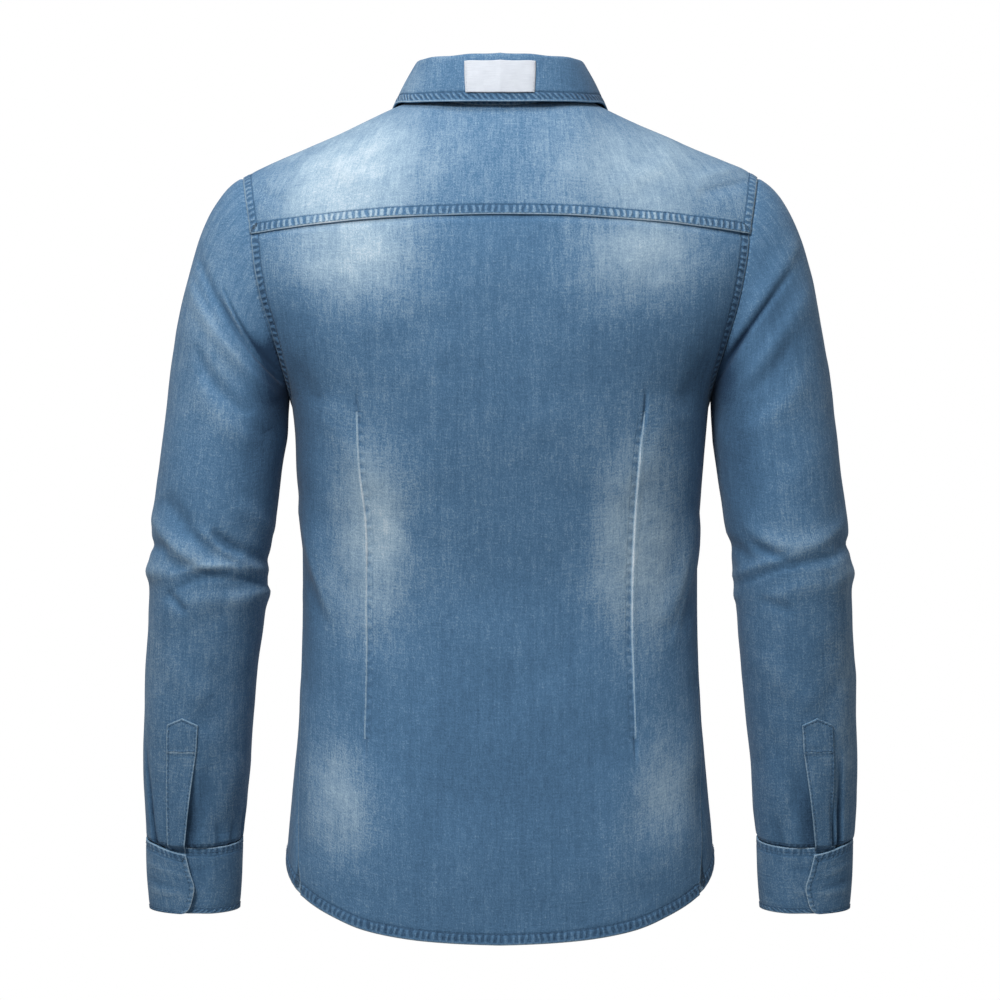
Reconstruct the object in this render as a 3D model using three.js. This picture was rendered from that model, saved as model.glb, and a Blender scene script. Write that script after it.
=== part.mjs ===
// A long-sleeved denim shirt, filled out as if worn: back with two long darts, yoke over the shoulders, two
// fronts with a buttoned strip, stand and fall of the collar with a bare label, sleeves with a pointed
// placket, and cuffs. Millimetres, +Z up. The front faces -Y and the wearer's left is +X. The origin lies in
// the middle of the neck opening, level with the points where the shoulder lines meet the collar.
import * as THREE from "three";

// Driving dimensions.
const CLOTH = 1.6; // the wall of every panel of one ply
const DOUBLE = 2.2; // the wall of collar and cuffs, which are two plies and a stiffener
const STRIP = 1.2; // what is sewn flat on a panel
const SEAM = 0.4; // the gap between two pieces at a seam
const SECTION = 2.4; // the power of the body's oval section; 2 is an ellipse
const CREST = 190; // the height over which the back and the chest round over into the shoulder
const NECK = { halfWidth: 72, halfDepth: 64, y: -8 };
const STAND = { lean: 4, sway: 2, fold: 3.5, tuckAngle: 158, tuckOver: 14, cutAngle: 8, cut: 0.6 };
const ARMHOLE = { top: -59, bottom: -250, back: 60, frontTop: 42, frontLow: 58 };
const YOKE = { back: -98.8, backEnd: -111.6, frontAngle: 43, neckAngle: 115 };
const SIDE = { swing: 27, over: 425 }; // degrees by which the side seam turns to the back on its way down
const CLOSING = { half: 17, start: 32, sinkOver: 14, under: 2.4, buttons: 6, first: -98, pitch: 92 };
const DART = { top: -259, bottom: -546, xTop: 123, xMiddle: 114, xBottom: 115.4, depth: 2.6, width: 5 };
const DART_CROWD = 90;
const RELIEF = { from: -30, over: 40 }; // the depth at which the back's folds start, and over which they grow
const CUFF = { top: -637, bottom: -698.5, underlap: 52, edge: 89, laps: 28, rounded: 5 };
const PLACKET = { top: -532.5, point: 6, bottom: -640, outer: 61, inner: 93, innerLow: 81 };
const PLACKET_LIFT = { high: 2, open: 0.75 }; // how far the free edge stands up, and over what share
const LABEL = { halfWidth: 27.5, top: 0.12, bottom: 0.8, thick: 0.9, above: 0.3 };
const BUTTON = { radius: 5.6, thick: 2.4, sides: 14, above: 0.35 };

// The body at each height: half its width, and how far back and chest stand from the side seams' plane.
const BODY = [
  { z: -740, width: 187, back: 117, front: 110 },
  { z: -653, width: 186, back: 115, front: 107 },
  { z: -600, width: 181, back: 110, front: 103 },
  { z: -540, width: 175.5, back: 102, front: 100 },
  { z: -480, width: 172.6, back: 95, front: 98 },
  { z: -418, width: 171.4, back: 92, front: 99 },
  { z: -360, width: 172.3, back: 98, front: 105 },
  { z: -304, width: 176.6, back: 108, front: 113 },
  { z: -277, width: 178.7, back: 112.5, front: 116 },
  { z: -250, width: 182, back: 116, front: 117 },
  { z: -223, width: 191, back: 118.6, front: 116.4 },
  { z: -200, width: 181, back: 120, front: 115 },
  { z: -154, width: 181, back: 121, front: 106 },
  { z: -100, width: 181, back: 120, front: 94 },
  { z: -60, width: 181, back: 119, front: 87 },
  { z: 0, width: 181, back: 118, front: 84 },
  { z: 30, width: 181, back: 118, front: 84 },
];
// The armhole's distance from the middle plane at each height.
const ARMHOLE_X = [
  { z: -250, x: 182 },
  { z: -238, x: 183.8 },
  { z: -225, x: 187 },
  { z: -196, x: 196 },
  { z: -171, x: 203.6 },
  { z: -138, x: 210.4 },
  { z: -111, x: 214 },
  { z: -59, x: 223 },
];
// The hem's height at each angle round the body, from the middle of the back to the middle of the front.
const HEM = [
  { angle: 0, z: -714 },
  { angle: 10, z: -712.5 },
  { angle: 21, z: -709.4 },
  { angle: 34, z: -703 },
  { angle: 45, z: -694 },
  { angle: 55, z: -685 },
  { angle: 64, z: -676 },
  { angle: 75, z: -664 },
  { angle: 90, z: -648 },
  { angle: 104, z: -646 },
  { angle: 120, z: -656 },
  { angle: 140, z: -676 },
  { angle: 160, z: -690 },
  { angle: 180, z: -696 },
];
// The line of the shoulders from the middle out.
const SHOULDER = [
  { x: 0, z: 22.5 },
  { x: 50, z: 16 },
  { x: 72, z: 10 },
  { x: 94, z: 0 },
  { x: 131, z: -17.4 },
  { x: 171, z: -34.8 },
  { x: 211, z: -52 },
  { x: 223, z: -59 },
];
// Rings of the sleeve below the armhole: the middle of each, its half sizes, and how far its back dips.
const SLEEVE = [
  { z: -290, x: 239.7, y: 0, width: 54.4, depth: 62, dip: 0 },
  { z: -340, x: 246.2, y: 1, width: 53.2, depth: 59, dip: 0 },
  { z: -385, x: 251.8, y: 0, width: 51.8, depth: 57, dip: 0.05 },
  { z: -426, x: 255, y: -4, width: 51, depth: 54, dip: 0.12 },
  { z: -470, x: 258.6, y: -12, width: 49.8, depth: 51, dip: 0.18 },
  { z: -516, x: 263, y: -21, width: 48.6, depth: 48, dip: 0.2 },
  { z: -567, x: 266.4, y: -31, width: 47.2, depth: 44, dip: 0.2 },
  { z: -608, x: 268, y: -39, width: 45.2, depth: 40, dip: 0.2 },
  { z: -641, x: 268.8, y: -45, width: 43, depth: 36, dip: 0.2 },
];
const CUFF_RING = [
  { z: -637, x: 268.8, y: -44.5, width: 42.8, depth: 36, dip: 0.2 },
  { z: -669, x: 269.2, y: -50, width: 42, depth: 35, dip: 0.16 },
  { z: -698.5, x: 269.4, y: -54.5, width: 39.8, depth: 33.6, dip: 0.1 },
];
// The collar stand's height by the angle round the neck: high at the back, lower at the sides.
const STAND_HEIGHT = [
  { angle: 0, high: 40 },
  { angle: 35, high: 36.5 },
  { angle: 50, high: 32 },
  { angle: 64, high: 26.5 },
  { angle: 90, high: 24.5 },
  { angle: 130, high: 26 },
  { angle: 180, high: 30 },
];
// Where the sleeve leaves the armhole and how strongly, at the shoulder and under the arm.
const CAP = { top: [0.92, 0, -0.4], under: [0.12, 0, -0.99], down: [0.12, 0, -1], clear: 0.8 };
const CAP_PULL = { top: 150, under: 38 };
const CAP_END = { top: 274, under: 40 };
const FALL = { endAngle: 173, bulge: 1.2, halfLength: 197 };
// The collar's free edge from the middle of the back to its point.
const FALL_EDGE = [
  { share: 0, x: 0, y: 67, z: 2.4 },
  { share: 0.2, x: 41, y: 59, z: 3 },
  { share: 0.38, x: 76, y: 36, z: 4 },
  { share: 0.52, x: 93.5, y: 0, z: 4 },
  { share: 0.66, x: 96, y: -36, z: -14 },
  { share: 0.82, x: 80, y: -71, z: -58 },
  { share: 1, x: 47, y: -92, z: -92 },
];

// Folds: a ridge where height is positive and a trough where it is negative, from one end to the other.
const BACK_FOLDS = [
  { name: "side drag", x0: 171, z0: -335, x1: 138, z1: -440, bow: 4, width: 12, height: 3 },
  { name: "hip fold", x0: 168, z0: -500, x1: 158, z1: -640, bow: 0, width: 12, height: 2 },
];
const LEFT_SLEEVE_FOLDS = [
  { name: "armpit drag", x0: 264, z0: -122, x1: 184, z1: -242, bow: 5, width: 9, height: -5 },
  { name: "armpit ridge", x0: 274, z0: -150, x1: 196, z1: -262, bow: 3, width: 11, height: 4 },
  { name: "upper sag", x0: 262, z0: -195, x1: 216, z1: -262, bow: 6, width: 10, height: -2.5 },
  { name: "elbow roll", x0: 300, z0: -355, x1: 200, z1: -410, bow: 15, width: 9, height: 4.5 },
  { name: "elbow crease", x0: 284, z0: -418, x1: 196, z1: -414, bow: -10, width: 8, height: -4.5 },
  { name: "upper crease", x0: 284, z0: -335, x1: 212, z1: -396, bow: 0, width: 9, height: -3.5 },
  { name: "inner crease", x0: 250, z0: -366, x1: 196, z1: -388, bow: 2, width: 8, height: -3 },
  { name: "inner bulge", x0: 236, z0: -420, x1: 180, z1: -412, bow: 0, width: 8, height: 3.5 },
  { name: "outer crease", x0: 318, z0: -374, x1: 268, z1: -400, bow: 0, width: 8, height: -3 },
  { name: "outer roll", x0: 330, z0: -394, x1: 262, z1: -410, bow: 0, width: 9, height: 3.4 },
];
const RIGHT_SLEEVE_FOLDS = [
  { name: "armpit drag", x0: 262, z0: -128, x1: 184, z1: -242, bow: -4, width: 9, height: -5 },
  { name: "armpit ridge", x0: 276, z0: -122, x1: 198, z1: -258, bow: 6, width: 11, height: 4 },
  { name: "elbow roll", x0: 214, z0: -360, x1: 298, z1: -362, bow: -20, width: 9, height: 4 },
  { name: "inner crease", x0: 214, z0: -374, x1: 256, z1: -396, bow: 0, width: 8, height: -3.5 },
  { name: "elbow crease", x0: 206, z0: -418, x1: 296, z1: -388, bow: 2, width: 8, height: -4.5 },
  { name: "elbow ridge", x0: 184, z0: -412, x1: 268, z1: -390, bow: 0, width: 8, height: 3 },
  { name: "outer bulge", x0: 330, z0: -396, x1: 270, z1: -402, bow: 0, width: 9, height: 3.4 },
];
const ELBOW = { z: -392, reach: 40, height: 3, wave: 52 };
// The pleats at the cuff: their angle round the sleeve from its outer side, their height and depth.
const PLEATS = [
  { angle: 50, top: -560, depth: 3.6, width: 7 },
  { angle: 33, top: -575, depth: 2.6, width: 7 },
  { angle: 172, top: -585, depth: 2.6, width: 9 },
];

const RAD = Math.PI / 180;
const lerp = (a, b, t) => a + (b - a) * t;
const clamp01 = (t) => Math.min(1, Math.max(0, t));
const smooth = (t) => clamp01(t) ** 2 * (3 - 2 * clamp01(t));
const signedPower = (v, p) => Math.sign(v) * Math.abs(v) ** p;
const steps = (from, to, count) => Array.from({ length: count + 1 }, (_, i) => lerp(from, to, i / count));

// A smooth curve through a table's column, by the slopes of its neighbours (Catmull-Rom on uneven keys).
function read(table, key, column, at) {
  const rows = table[0][key] < table[table.length - 1][key] ? table : [...table].reverse();
  const last = rows.length - 1;
  let i = rows.findIndex((r, k) => k < last && at < rows[k + 1][key]);
  if (i < 0) i = at < rows[0][key] ? 0 : last - 1;
  const slope = (k) => {
    const a = rows[Math.max(0, k - 1)];
    const b = rows[Math.min(last, k + 1)];
    return (b[column] - a[column]) / (b[key] - a[key]);
  };
  const wide = rows[i + 1][key] - rows[i][key];
  const t = clamp01((at - rows[i][key]) / wide);
  const t2 = t * t;
  const t3 = t2 * t;
  return (
    rows[i][column] * (2 * t3 - 3 * t2 + 1) +
    rows[i + 1][column] * (3 * t2 - 2 * t3) +
    wide * (slope(i) * (t3 - 2 * t2 + t) + slope(i + 1) * (t3 - t2))
  );
}

// The height of a soft fold at a point: full along the middle of its bowed line, nothing at its ends.
function foldHeight(x, z, fold) {
  const dx = fold.x1 - fold.x0;
  const dz = fold.z1 - fold.z0;
  const length = Math.hypot(dx, dz);
  const along = ((x - fold.x0) * dx + (z - fold.z0) * dz) / length ** 2;
  if (along <= 0 || along >= 1) return 0;
  const across = ((z - fold.z0) * dx - (x - fold.x0) * dz) / length - fold.bow * 4 * along * (1 - along);
  return fold.height * Math.sin(Math.PI * along) ** 0.7 * Math.exp(-((across / fold.width) ** 2));
}
const foldSum = (x, z, folds) => folds.reduce((sum, fold) => sum + foldHeight(x, z, fold), 0);

// The body's surface. Angles run from 0 at the middle of the back to 180 degrees at the middle of the front.
const shoulderZ = (x) => read(SHOULDER, "x", "z", Math.min(Math.abs(x), 223));
const crestShare = (drop) => Math.sqrt(1 - (1 - clamp01(drop / CREST)) ** 2);
const depthAt = (z, isBack) => read(BODY, "z", isBack ? "back" : "front", z);

// A point of the armhole: 0 at the shoulder, 90 at its back, 180 under the arm and -90 at its front.
function armhole(angle) {
  const c = Math.cos(angle * RAD);
  const s = Math.sin(angle * RAD);
  const z = lerp(ARMHOLE.bottom, ARMHOLE.top, (1 + c) / 2);
  const reach = s > 0 ? ARMHOLE.back : lerp(ARMHOLE.frontTop, ARMHOLE.frontLow, (1 - c) / 2);
  return { x: read(ARMHOLE_X, "z", "x", z), y: reach * s, z };
}
function armholeAngle(z) {
  const c = (2 * (z - ARMHOLE.bottom)) / (ARMHOLE.top - ARMHOLE.bottom) - 1;
  return Math.acos(Math.min(1, Math.max(-1, c))) / RAD;
}

// The section at a height: its half width, and the angle where the panel ends (armhole or side seam).
function section(z, isBack) {
  if (z <= ARMHOLE.bottom) {
    const seam = 90 - SIDE.swing * clamp01((ARMHOLE.bottom - z) / SIDE.over) ** 1.6;
    return { width: read(BODY, "z", "width", z), end: isBack ? seam : 180 - seam };
  }
  const high = Math.min(z, ARMHOLE.top - 0.5);
  const edge = armhole(armholeAngle(high) * (isBack ? 1 : -1));
  const drop = shoulderZ(edge.x) - high;
  const share = Math.abs(edge.y) / (depthAt(high, isBack) * crestShare(drop));
  const end = Math.acos(share ** (SECTION / 2));
  return { width: edge.x / Math.sin(end) ** (2 / SECTION), end: end / RAD };
}

// The point at an angle and height. For a panel of the front, angle counts from the middle of the front.
function bodyPoint(angle, z, isBack, relief = true) {
  const { width } = section(z, isBack);
  const power = 2 / SECTION;
  const x = width * signedPower(Math.sin(angle * RAD), power);
  const cos = Math.cos(angle * RAD);
  const facingBack = isBack ? cos > 0 : cos < 0;
  const depth = depthAt(z, facingBack) * Math.abs(cos) ** power * crestShare(shoulderZ(x) - z);
  const p = new THREE.Vector3(x, facingBack ? depth : -depth, z);
  if (!relief) return p;
  const out = new THREE.Vector3(x / width ** 2, p.y / depthAt(z, true) ** 2, 0).normalize();
  const folds = foldSum(Math.abs(x), z, BACK_FOLDS) - dartDepth(Math.abs(x), z);
  return p.addScaledVector(out, smooth((p.y - RELIEF.from) / RELIEF.over) * folds);
}

// The long dart of the back: a narrow trough, pointed at both ends.
function dartX(z) {
  const t = 2 * clamp01((z - DART.bottom) / (DART.top - DART.bottom)) - 1;
  return t < 0 ? lerp(DART.xMiddle, DART.xBottom, -t) : lerp(DART.xMiddle, DART.xTop, t ** 1.4);
}
function dartDepth(x, z) {
  const t = (z - DART.bottom) / (DART.top - DART.bottom);
  if (t <= 0 || t >= 1) return 0;
  return DART.depth * Math.sin(Math.PI * t) ** 0.5 * Math.exp(-(((x - dartX(z)) / DART.width) ** 2));
}
const angleOfX = (x, z, isBack) => {
  const share = Math.min(1, Math.abs(x) / section(z, isBack).width);
  return (Math.sign(x) * Math.asin(share ** (SECTION / 2))) / RAD;
};

// The surface near the shoulder, by the distance from the middle and an angle over the crest.
function crestPoint(x, over) {
  const isBack = over >= 0;
  const z = shoulderZ(x) - CREST * (1 - Math.cos(over * RAD));
  const { width } = section(z, isBack);
  const depth = depthAt(z, isBack) * (1 - Math.min(1, Math.abs(x) / width) ** SECTION) ** (1 / SECTION);
  return new THREE.Vector3(x, depth * Math.sin(over * RAD), z);
}
const overOfZ = (x, z) => Math.acos(Math.max(0, 1 - (shoulderZ(x) - z) / CREST)) / RAD;

// The neckline, an ellipse seen from above, on the body's surface. 0 is the middle of the back.
function neckline(angle) {
  const x = NECK.halfWidth * Math.sin(angle * RAD);
  const y = NECK.y + NECK.halfDepth * Math.cos(angle * RAD);
  let over = 0;
  for (let i = 0; i < 12; i++) {
    const depth = crestPoint(x, over).y / Math.sin(over * RAD) || depthAt(0, y > 0);
    over = (Math.sign(y) * Math.asin(Math.min(1, Math.abs(y) / depth))) / RAD;
  }
  return { x, y, z: shoulderZ(x) - CREST * (1 - Math.cos(over * RAD)), over };
}

// The seams that end the panels.
const yokeEnd = armhole(armholeAngle(YOKE.backEnd));
const yokeBackZ = (x) => lerp(YOKE.back, YOKE.backEnd, (Math.abs(x) / yokeEnd.x) ** 2.2);
const yokeNeck = neckline(YOKE.neckAngle);
const yokeArm = armhole(-YOKE.frontAngle);
const SHOULDER_XS = steps(yokeArm.x, yokeNeck.x, 6);
const NECK_BACK = steps(0, YOKE.neckAngle, 6);
const neckAngleOf = (x) => 180 - Math.asin(x / NECK.halfWidth) / RAD;
const NECK_FRONT = steps(YOKE.neckAngle, neckAngleOf(CLOSING.start), 3).slice(1);
const lapZ = neckline(neckAngleOf(CLOSING.half)).z;
const yokeFrontShare = (x) => (Math.abs(x) - yokeNeck.x) / (yokeArm.x - yokeNeck.x);
const yokeFrontZ = (x) => lerp(yokeNeck.z, yokeArm.z, yokeFrontShare(x) ** 1.1);
const hemZ = (angle, isBack) => read(HEM, "angle", "z", isBack ? Math.abs(angle) : 180 - Math.abs(angle));
const hemSide = -676; // the hem's height at the side seam

// The direction of a line of points at one of them. At an open end a parabola through three points gives it.
function slopeOf(at, k, count, isClosed) {
  if (isClosed) return at((k + 1) % count).clone().sub(at((k + count - 1) % count));
  if (k > 0 && k < count - 1) return at(k + 1).clone().sub(at(k - 1));
  const step = k === 0 ? 1 : -1;
  const direction = at(k).clone().multiplyScalar(-3).addScaledVector(at(k + step), 4).sub(at(k + 2 * step));
  return direction.multiplyScalar(step);
}

// A wall of cloth from a grid of points on its outer face. Rows rise, and columns run to the left as seen
// from outside. A tube's rows close on themselves.
function wall(grid, thickness, isTube = false) {
  const rows = grid.length;
  const columns = grid[0].length;
  const inner = grid.map((row, i) =>
    row.map((p, j) => {
      const up = slopeOf((k) => grid[k][j], i, rows, false);
      const across = slopeOf((k) => row[k], j, columns, isTube);
      return p.clone().addScaledVector(up.cross(across).normalize(), -thickness);
    }),
  );
  const points = [...grid.flat(), ...inner.flat()];
  const back = rows * columns;
  const faces = [];
  const quad = (a, b, c, d) => faces.push(a, c, b, a, d, c);
  const id = (i, j) => i * columns + (j % columns);
  const last = isTube ? columns : columns - 1;
  for (let i = 0; i < rows - 1; i++)
    for (let j = 0; j < last; j++) {
      quad(id(i, j), id(i, j + 1), id(i + 1, j + 1), id(i + 1, j));
      quad(back + id(i, j), back + id(i + 1, j), back + id(i + 1, j + 1), back + id(i, j + 1));
    }
  for (let j = 0; j < last; j++) {
    quad(id(0, j + 1), id(0, j), back + id(0, j), back + id(0, j + 1));
    quad(id(rows - 1, j), id(rows - 1, j + 1), back + id(rows - 1, j + 1), back + id(rows - 1, j));
  }
  if (!isTube)
    for (let i = 0; i < rows - 1; i++) {
      quad(id(i, 0), id(i + 1, 0), back + id(i + 1, 0), back + id(i, 0));
      quad(id(i + 1, last), id(i, last), back + id(i, last), back + id(i + 1, last));
    }
  return new THREE.BufferGeometry().setFromPoints(points).setIndex(faces);
}
const acrossMiddle = (p) => new THREE.Vector3(-p.x, p.y, p.z);
const mirrored = (grid) => grid.map((row) => [...row].reverse().map(acrossMiddle));

// The angles round the armhole where the panels' rows end. The sleeve starts on the same points.
const BACK_ROWS = steps(180, armholeAngle(YOKE.backEnd), 7);
const YOKE_ROWS = steps(armholeAngle(YOKE.backEnd), SEAM - YOKE.frontAngle, 7);
const FRONT_ROWS = steps(-180, -YOKE.frontAngle, 8);
const LOW_ROWS = 14;
const SIDE_GAP = 0.14; // degrees left open at the side seam by each panel

// Rows of a panel from hem to top, one of them through the point under the arm, as heights in one column.
function panelRows(foot, head, sideFoot, sideHead, armAngles) {
  const shareOf = (z) => (z - sideFoot) / (sideHead - sideFoot);
  const low = steps(0, shareOf(ARMHOLE.bottom), LOW_ROWS);
  const high = armAngles.slice(1).map((angle) => shareOf(armhole(angle).z));
  return [...low, ...high].map((share) => lerp(foot, head, share));
}

// The back: its columns crowd at the dart and are even at the yoke and the hem.
const BACK_COLUMNS = [...steps(0, 0.93, 4), 0.965, 1, 1.035, ...steps(1.12, 2, 4)];
function backAngle(k, z) {
  const even = k / (BACK_COLUMNS.length - 1);
  const end = section(z, true).end;
  const dart = angleOfX(dartX(z), z, true);
  const crowded = BACK_COLUMNS[k] < 1 ? BACK_COLUMNS[k] * dart : lerp(dart, end, BACK_COLUMNS[k] - 1);
  const near = smooth((DART.top - z) / DART_CROWD + 1) * smooth((z - DART.bottom) / DART_CROWD + 1);
  return lerp(even * end, crowded, near);
}
function backSeamX(k) {
  let z = YOKE.back;
  for (let i = 0; i < 12; i++) z = yokeBackZ(bodyPoint(backAngle(k, z), z, true, false).x);
  return bodyPoint(backAngle(k, z), z, true, false).x;
}
const BACK_SEAM_XS = BACK_COLUMNS.map((_, k) => backSeamX(k));
function backGrid() {
  const sideHead = yokeEnd.z - SEAM;
  const half = BACK_COLUMNS.map((_, k) => {
    let foot = hemSide;
    for (let i = 0; i < 12; i++) foot = hemZ(backAngle(k, foot), true);
    const heights = panelRows(foot, yokeBackZ(BACK_SEAM_XS[k]) - SEAM, hemSide, sideHead, BACK_ROWS);
    const atSide = k === BACK_COLUMNS.length - 1;
    const gapAt = (i) => (atSide && i <= LOW_ROWS ? SIDE_GAP : 0);
    return heights.map((z, i) => bodyPoint(backAngle(k, z) - gapAt(i), z, true));
  });
  const right = half[0].map((_, i) => half.map((column) => column[i]));
  return mirrored(right).map((row, i) => [...row.slice(0, -1), ...right[i]]);
}

// A front, from its side seam or armhole to its edge past the middle, built as the wearer's left one.
function frontGrid(sink) {
  const inner = (z) => angleOfX(CLOSING.start, z, false);
  const endAngle = (z) => (z <= ARMHOLE.bottom ? 180 - section(z, true).end : section(z, false).end);
  const shoulderHeads = SHOULDER_XS.map((x) => ({ x, z: yokeFrontZ(x) }));
  const heads = [...shoulderHeads, ...NECK_FRONT.map((angle) => neckline(angle))];
  const columns = heads.map((head, k) => {
    const z = head.z - SEAM;
    const share = k === 0 ? 0 : (endAngle(z) - angleOfX(head.x, z, false)) / (endAngle(z) - inner(z));
    return { head: z, angleAt: (at) => lerp(endAngle(at), inner(at), share) };
  });
  for (const x of [CLOSING.half, 0, -CLOSING.half])
    columns.push({ head: lapZ - SEAM, angleAt: (at) => angleOfX(x, at, false) });
  const grid = columns.map(({ head, angleAt }, k) => {
    let foot = hemSide;
    for (let i = 0; i < 30; i++) foot = lerp(foot, hemZ(angleAt(foot), false), 0.5);
    const heights = panelRows(foot, head, hemSide, yokeArm.z - SEAM, FRONT_ROWS);
    return heights.map((z, i) => {
      const p = bodyPoint(angleAt(z) - (k === 0 && i <= LOW_ROWS ? SIDE_GAP : 0), z, false);
      p.y += sink * smooth((CLOSING.start - p.x) / CLOSING.sinkOver);
      return p;
    });
  });
  return grid[0].map((_, i) => grid.map((column) => column[i]));
}

// The yoke: a curtain from the seam on the back over the shoulders to the front seams and the neckline.
function yokeGrid() {
  const far = [
    ...NECK_BACK.slice(0, -1).map((angle) => neckline(angle)),
    ...[...SHOULDER_XS].reverse().map((x) => ({ x, over: -overOfZ(x, yokeFrontZ(x) + SEAM) })),
  ];
  const near = BACK_SEAM_XS.map((x) => ({ x, over: overOfZ(x, yokeBackZ(x) + SEAM) }));
  const end = near.length - 1;
  const half = YOKE_ROWS.map((angle, i) => {
    const t = i / (YOKE_ROWS.length - 1);
    const arm = armhole(angle);
    const armOver = Math.sign(angle) * overOfZ(arm.x, arm.z);
    return near.map((start, k) => {
      const pull = (k / end) ** 3;
      const x = lerp(start.x, far[k].x, t) + pull * (arm.x - lerp(near[end].x, far[end].x, t));
      const overBy = armOver - lerp(near[end].over, far[end].over, t);
      const over = lerp(start.over, far[k].over, t) + pull * overBy;
      return crestPoint(x, over);
    });
  });
  return mirrored(half).map((row, i) => [...row.slice(0, -1), ...half[i]]);
}

// A ring's point, by the angle round the arm: 0 outside, 90 at the back, 180 towards the body.
function ringPoint(table, angle, z, reliefs = 0) {
  const c = Math.cos(angle * RAD);
  const s = Math.sin(angle * RAD);
  const width = read(table, "z", "width", z) + reliefs;
  const depth = read(table, "z", "depth", z) + reliefs;
  const dip = read(table, "z", "dip", z);
  return new THREE.Vector3(
    read(table, "z", "x", z) + width * c,
    read(table, "z", "y", z) + depth * s,
    z - dip * depth * s,
  );
}

// The sleeve's outer face. The cap runs from the armhole to the first ring as one cubic curve for each angle.
function sleevePoint(angle, row, folds) {
  const first = SLEEVE[0].z;
  let p;
  if (row.cap !== undefined) {
    const high = (1 + Math.cos(angle * RAD)) / 2;
    const away = new THREE.Vector3(...CAP.under).lerp(new THREE.Vector3(...CAP.top), high).normalize();
    const start = armhole(angle);
    const a = new THREE.Vector3(start.x, start.y, start.z).addScaledVector(away, SEAM);
    a.x += CAP.clear * (1 - high);
    const b = ringPoint(SLEEVE, angle, first);
    const down = new THREE.Vector3(...CAP.down);
    const t = row.cap;
    p = a
      .clone()
      .multiplyScalar(2 * t ** 3 - 3 * t ** 2 + 1)
      .addScaledVector(away, (t ** 3 - 2 * t ** 2 + t) * lerp(CAP_PULL.under, CAP_PULL.top, high))
      .addScaledVector(b, 3 * t ** 2 - 2 * t ** 3)
      .addScaledVector(down, (t ** 3 - t ** 2) * lerp(CAP_END.under, CAP_END.top, high));
  } else p = ringPoint(SLEEVE, angle, row.z);
  const wrap = lerp(0.6, -0.15, smooth((p.z + 340) / 60));
  const facing = smooth((Math.sin(angle * RAD) + wrap) / 0.5);
  const rooted = row.cap === undefined ? 1 : smooth(row.cap / 0.25);
  const relief = facing * rooted * foldSum(p.x, p.z, folds) - pleatDepth(angle, p.z) - elbowBend(angle, p.z);
  const out = new THREE.Vector3(Math.cos(angle * RAD), Math.sin(angle * RAD), 0);
  return p.addScaledVector(out, relief);
}
function pleatDepth(angle, z) {
  return PLEATS.reduce((sum, pleat) => {
    const up = clamp01((pleat.top - z) / (pleat.top - SLEEVE[SLEEVE.length - 1].z));
    const away = ((((angle - pleat.angle + 540) % 360) - 180) * RAD * 42) / pleat.width;
    return sum + pleat.depth * smooth(up) * Math.exp(-(away ** 2));
  }, 0);
}
// The cloth that gathers in the crook of the elbow, at the front: three shallow waves.
function elbowBend(angle, z) {
  const facing = smooth((-Math.sin(angle * RAD) - 0.1) / 0.6);
  const near = Math.exp(-(((z - ELBOW.z) / ELBOW.reach) ** 2));
  return facing * near * ELBOW.height * Math.cos((2 * Math.PI * (z - ELBOW.z)) / ELBOW.wave);
}

const SLEEVE_ANGLES = [
  ...BACK_ROWS.slice(0, -1),
  ...YOKE_ROWS.slice(0, -1),
  ...[...FRONT_ROWS].reverse().slice(0, -1),
];
const ELBOW_ZS = steps(-348, -432, 10);
const ARM_ZS = [...steps(-302, -338, 2), ...ELBOW_ZS, ...steps(-455, -585, 5), -611, CUFF.top + SEAM];
const SLEEVE_LEVELS = [...steps(0, 1, 9).map((cap) => ({ cap })), ...ARM_ZS.map((z) => ({ z }))];
const sleeveGrid = (folds) =>
  SLEEVE_LEVELS.map((row) => SLEEVE_ANGLES.map((angle) => sleevePoint(angle, row, folds))).reverse();

// The cuff: a strip once round and past itself. Its under end runs beneath the over end.
function cuffGrid() {
  const end = 360 + CUFF.edge;
  const free = CUFF.edge + CUFF.laps;
  const angles = [...steps(CUFF.underlap, free, 6), ...steps(free, end - 8, 20).slice(1), end];
  const edgeWave = [4, 0, -4, 1, 4];
  return steps(CUFF.bottom, CUFF.top - SEAM, 4).map((z, i) =>
    [...angles].reverse().map((angle) => {
      const inset = -(DOUBLE + 1) * (1 - smooth((angle - CUFF.edge - 4) / (CUFF.laps - 4)));
      const swing = angle === end ? -edgeWave[i] : 0;
      const p = ringPoint(CUFF_RING, angle + swing, z, inset);
      if (angle === end && i === 0) p.z += CUFF.rounded;
      return p;
    }),
  );
}

// The sleeve's placket: a strip with a pointed head, on the sleeve's own points moved out.
function placketGrid(folds) {
  const shares = [0, 0.33, 0.67, 1];
  return steps(0, 1, 8).map((up) =>
    [...shares].reverse().map((share) => {
      const inner = lerp(PLACKET.innerLow, PLACKET.inner, smooth(up * 1.4));
      const angle = lerp(PLACKET.outer, inner, share);
      const head = PLACKET.top + PLACKET.point * (1 - Math.abs(2 * share - 1));
      const z = lerp(PLACKET.bottom, head, up);
      const dip = read(SLEEVE, "z", "dip", z) * 40 * Math.sin(angle * RAD);
      const p = sleevePoint(angle, { z: z + dip }, folds);
      const lift = PLACKET_LIFT.high * share ** 2 * Math.sin(Math.PI * clamp01(up / PLACKET_LIFT.open));
      const out = new THREE.Vector3(Math.cos(angle * RAD), Math.sin(angle * RAD), 0);
      return p.addScaledVector(out, STRIP + SEAM + lift);
    }),
  );
}

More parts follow.
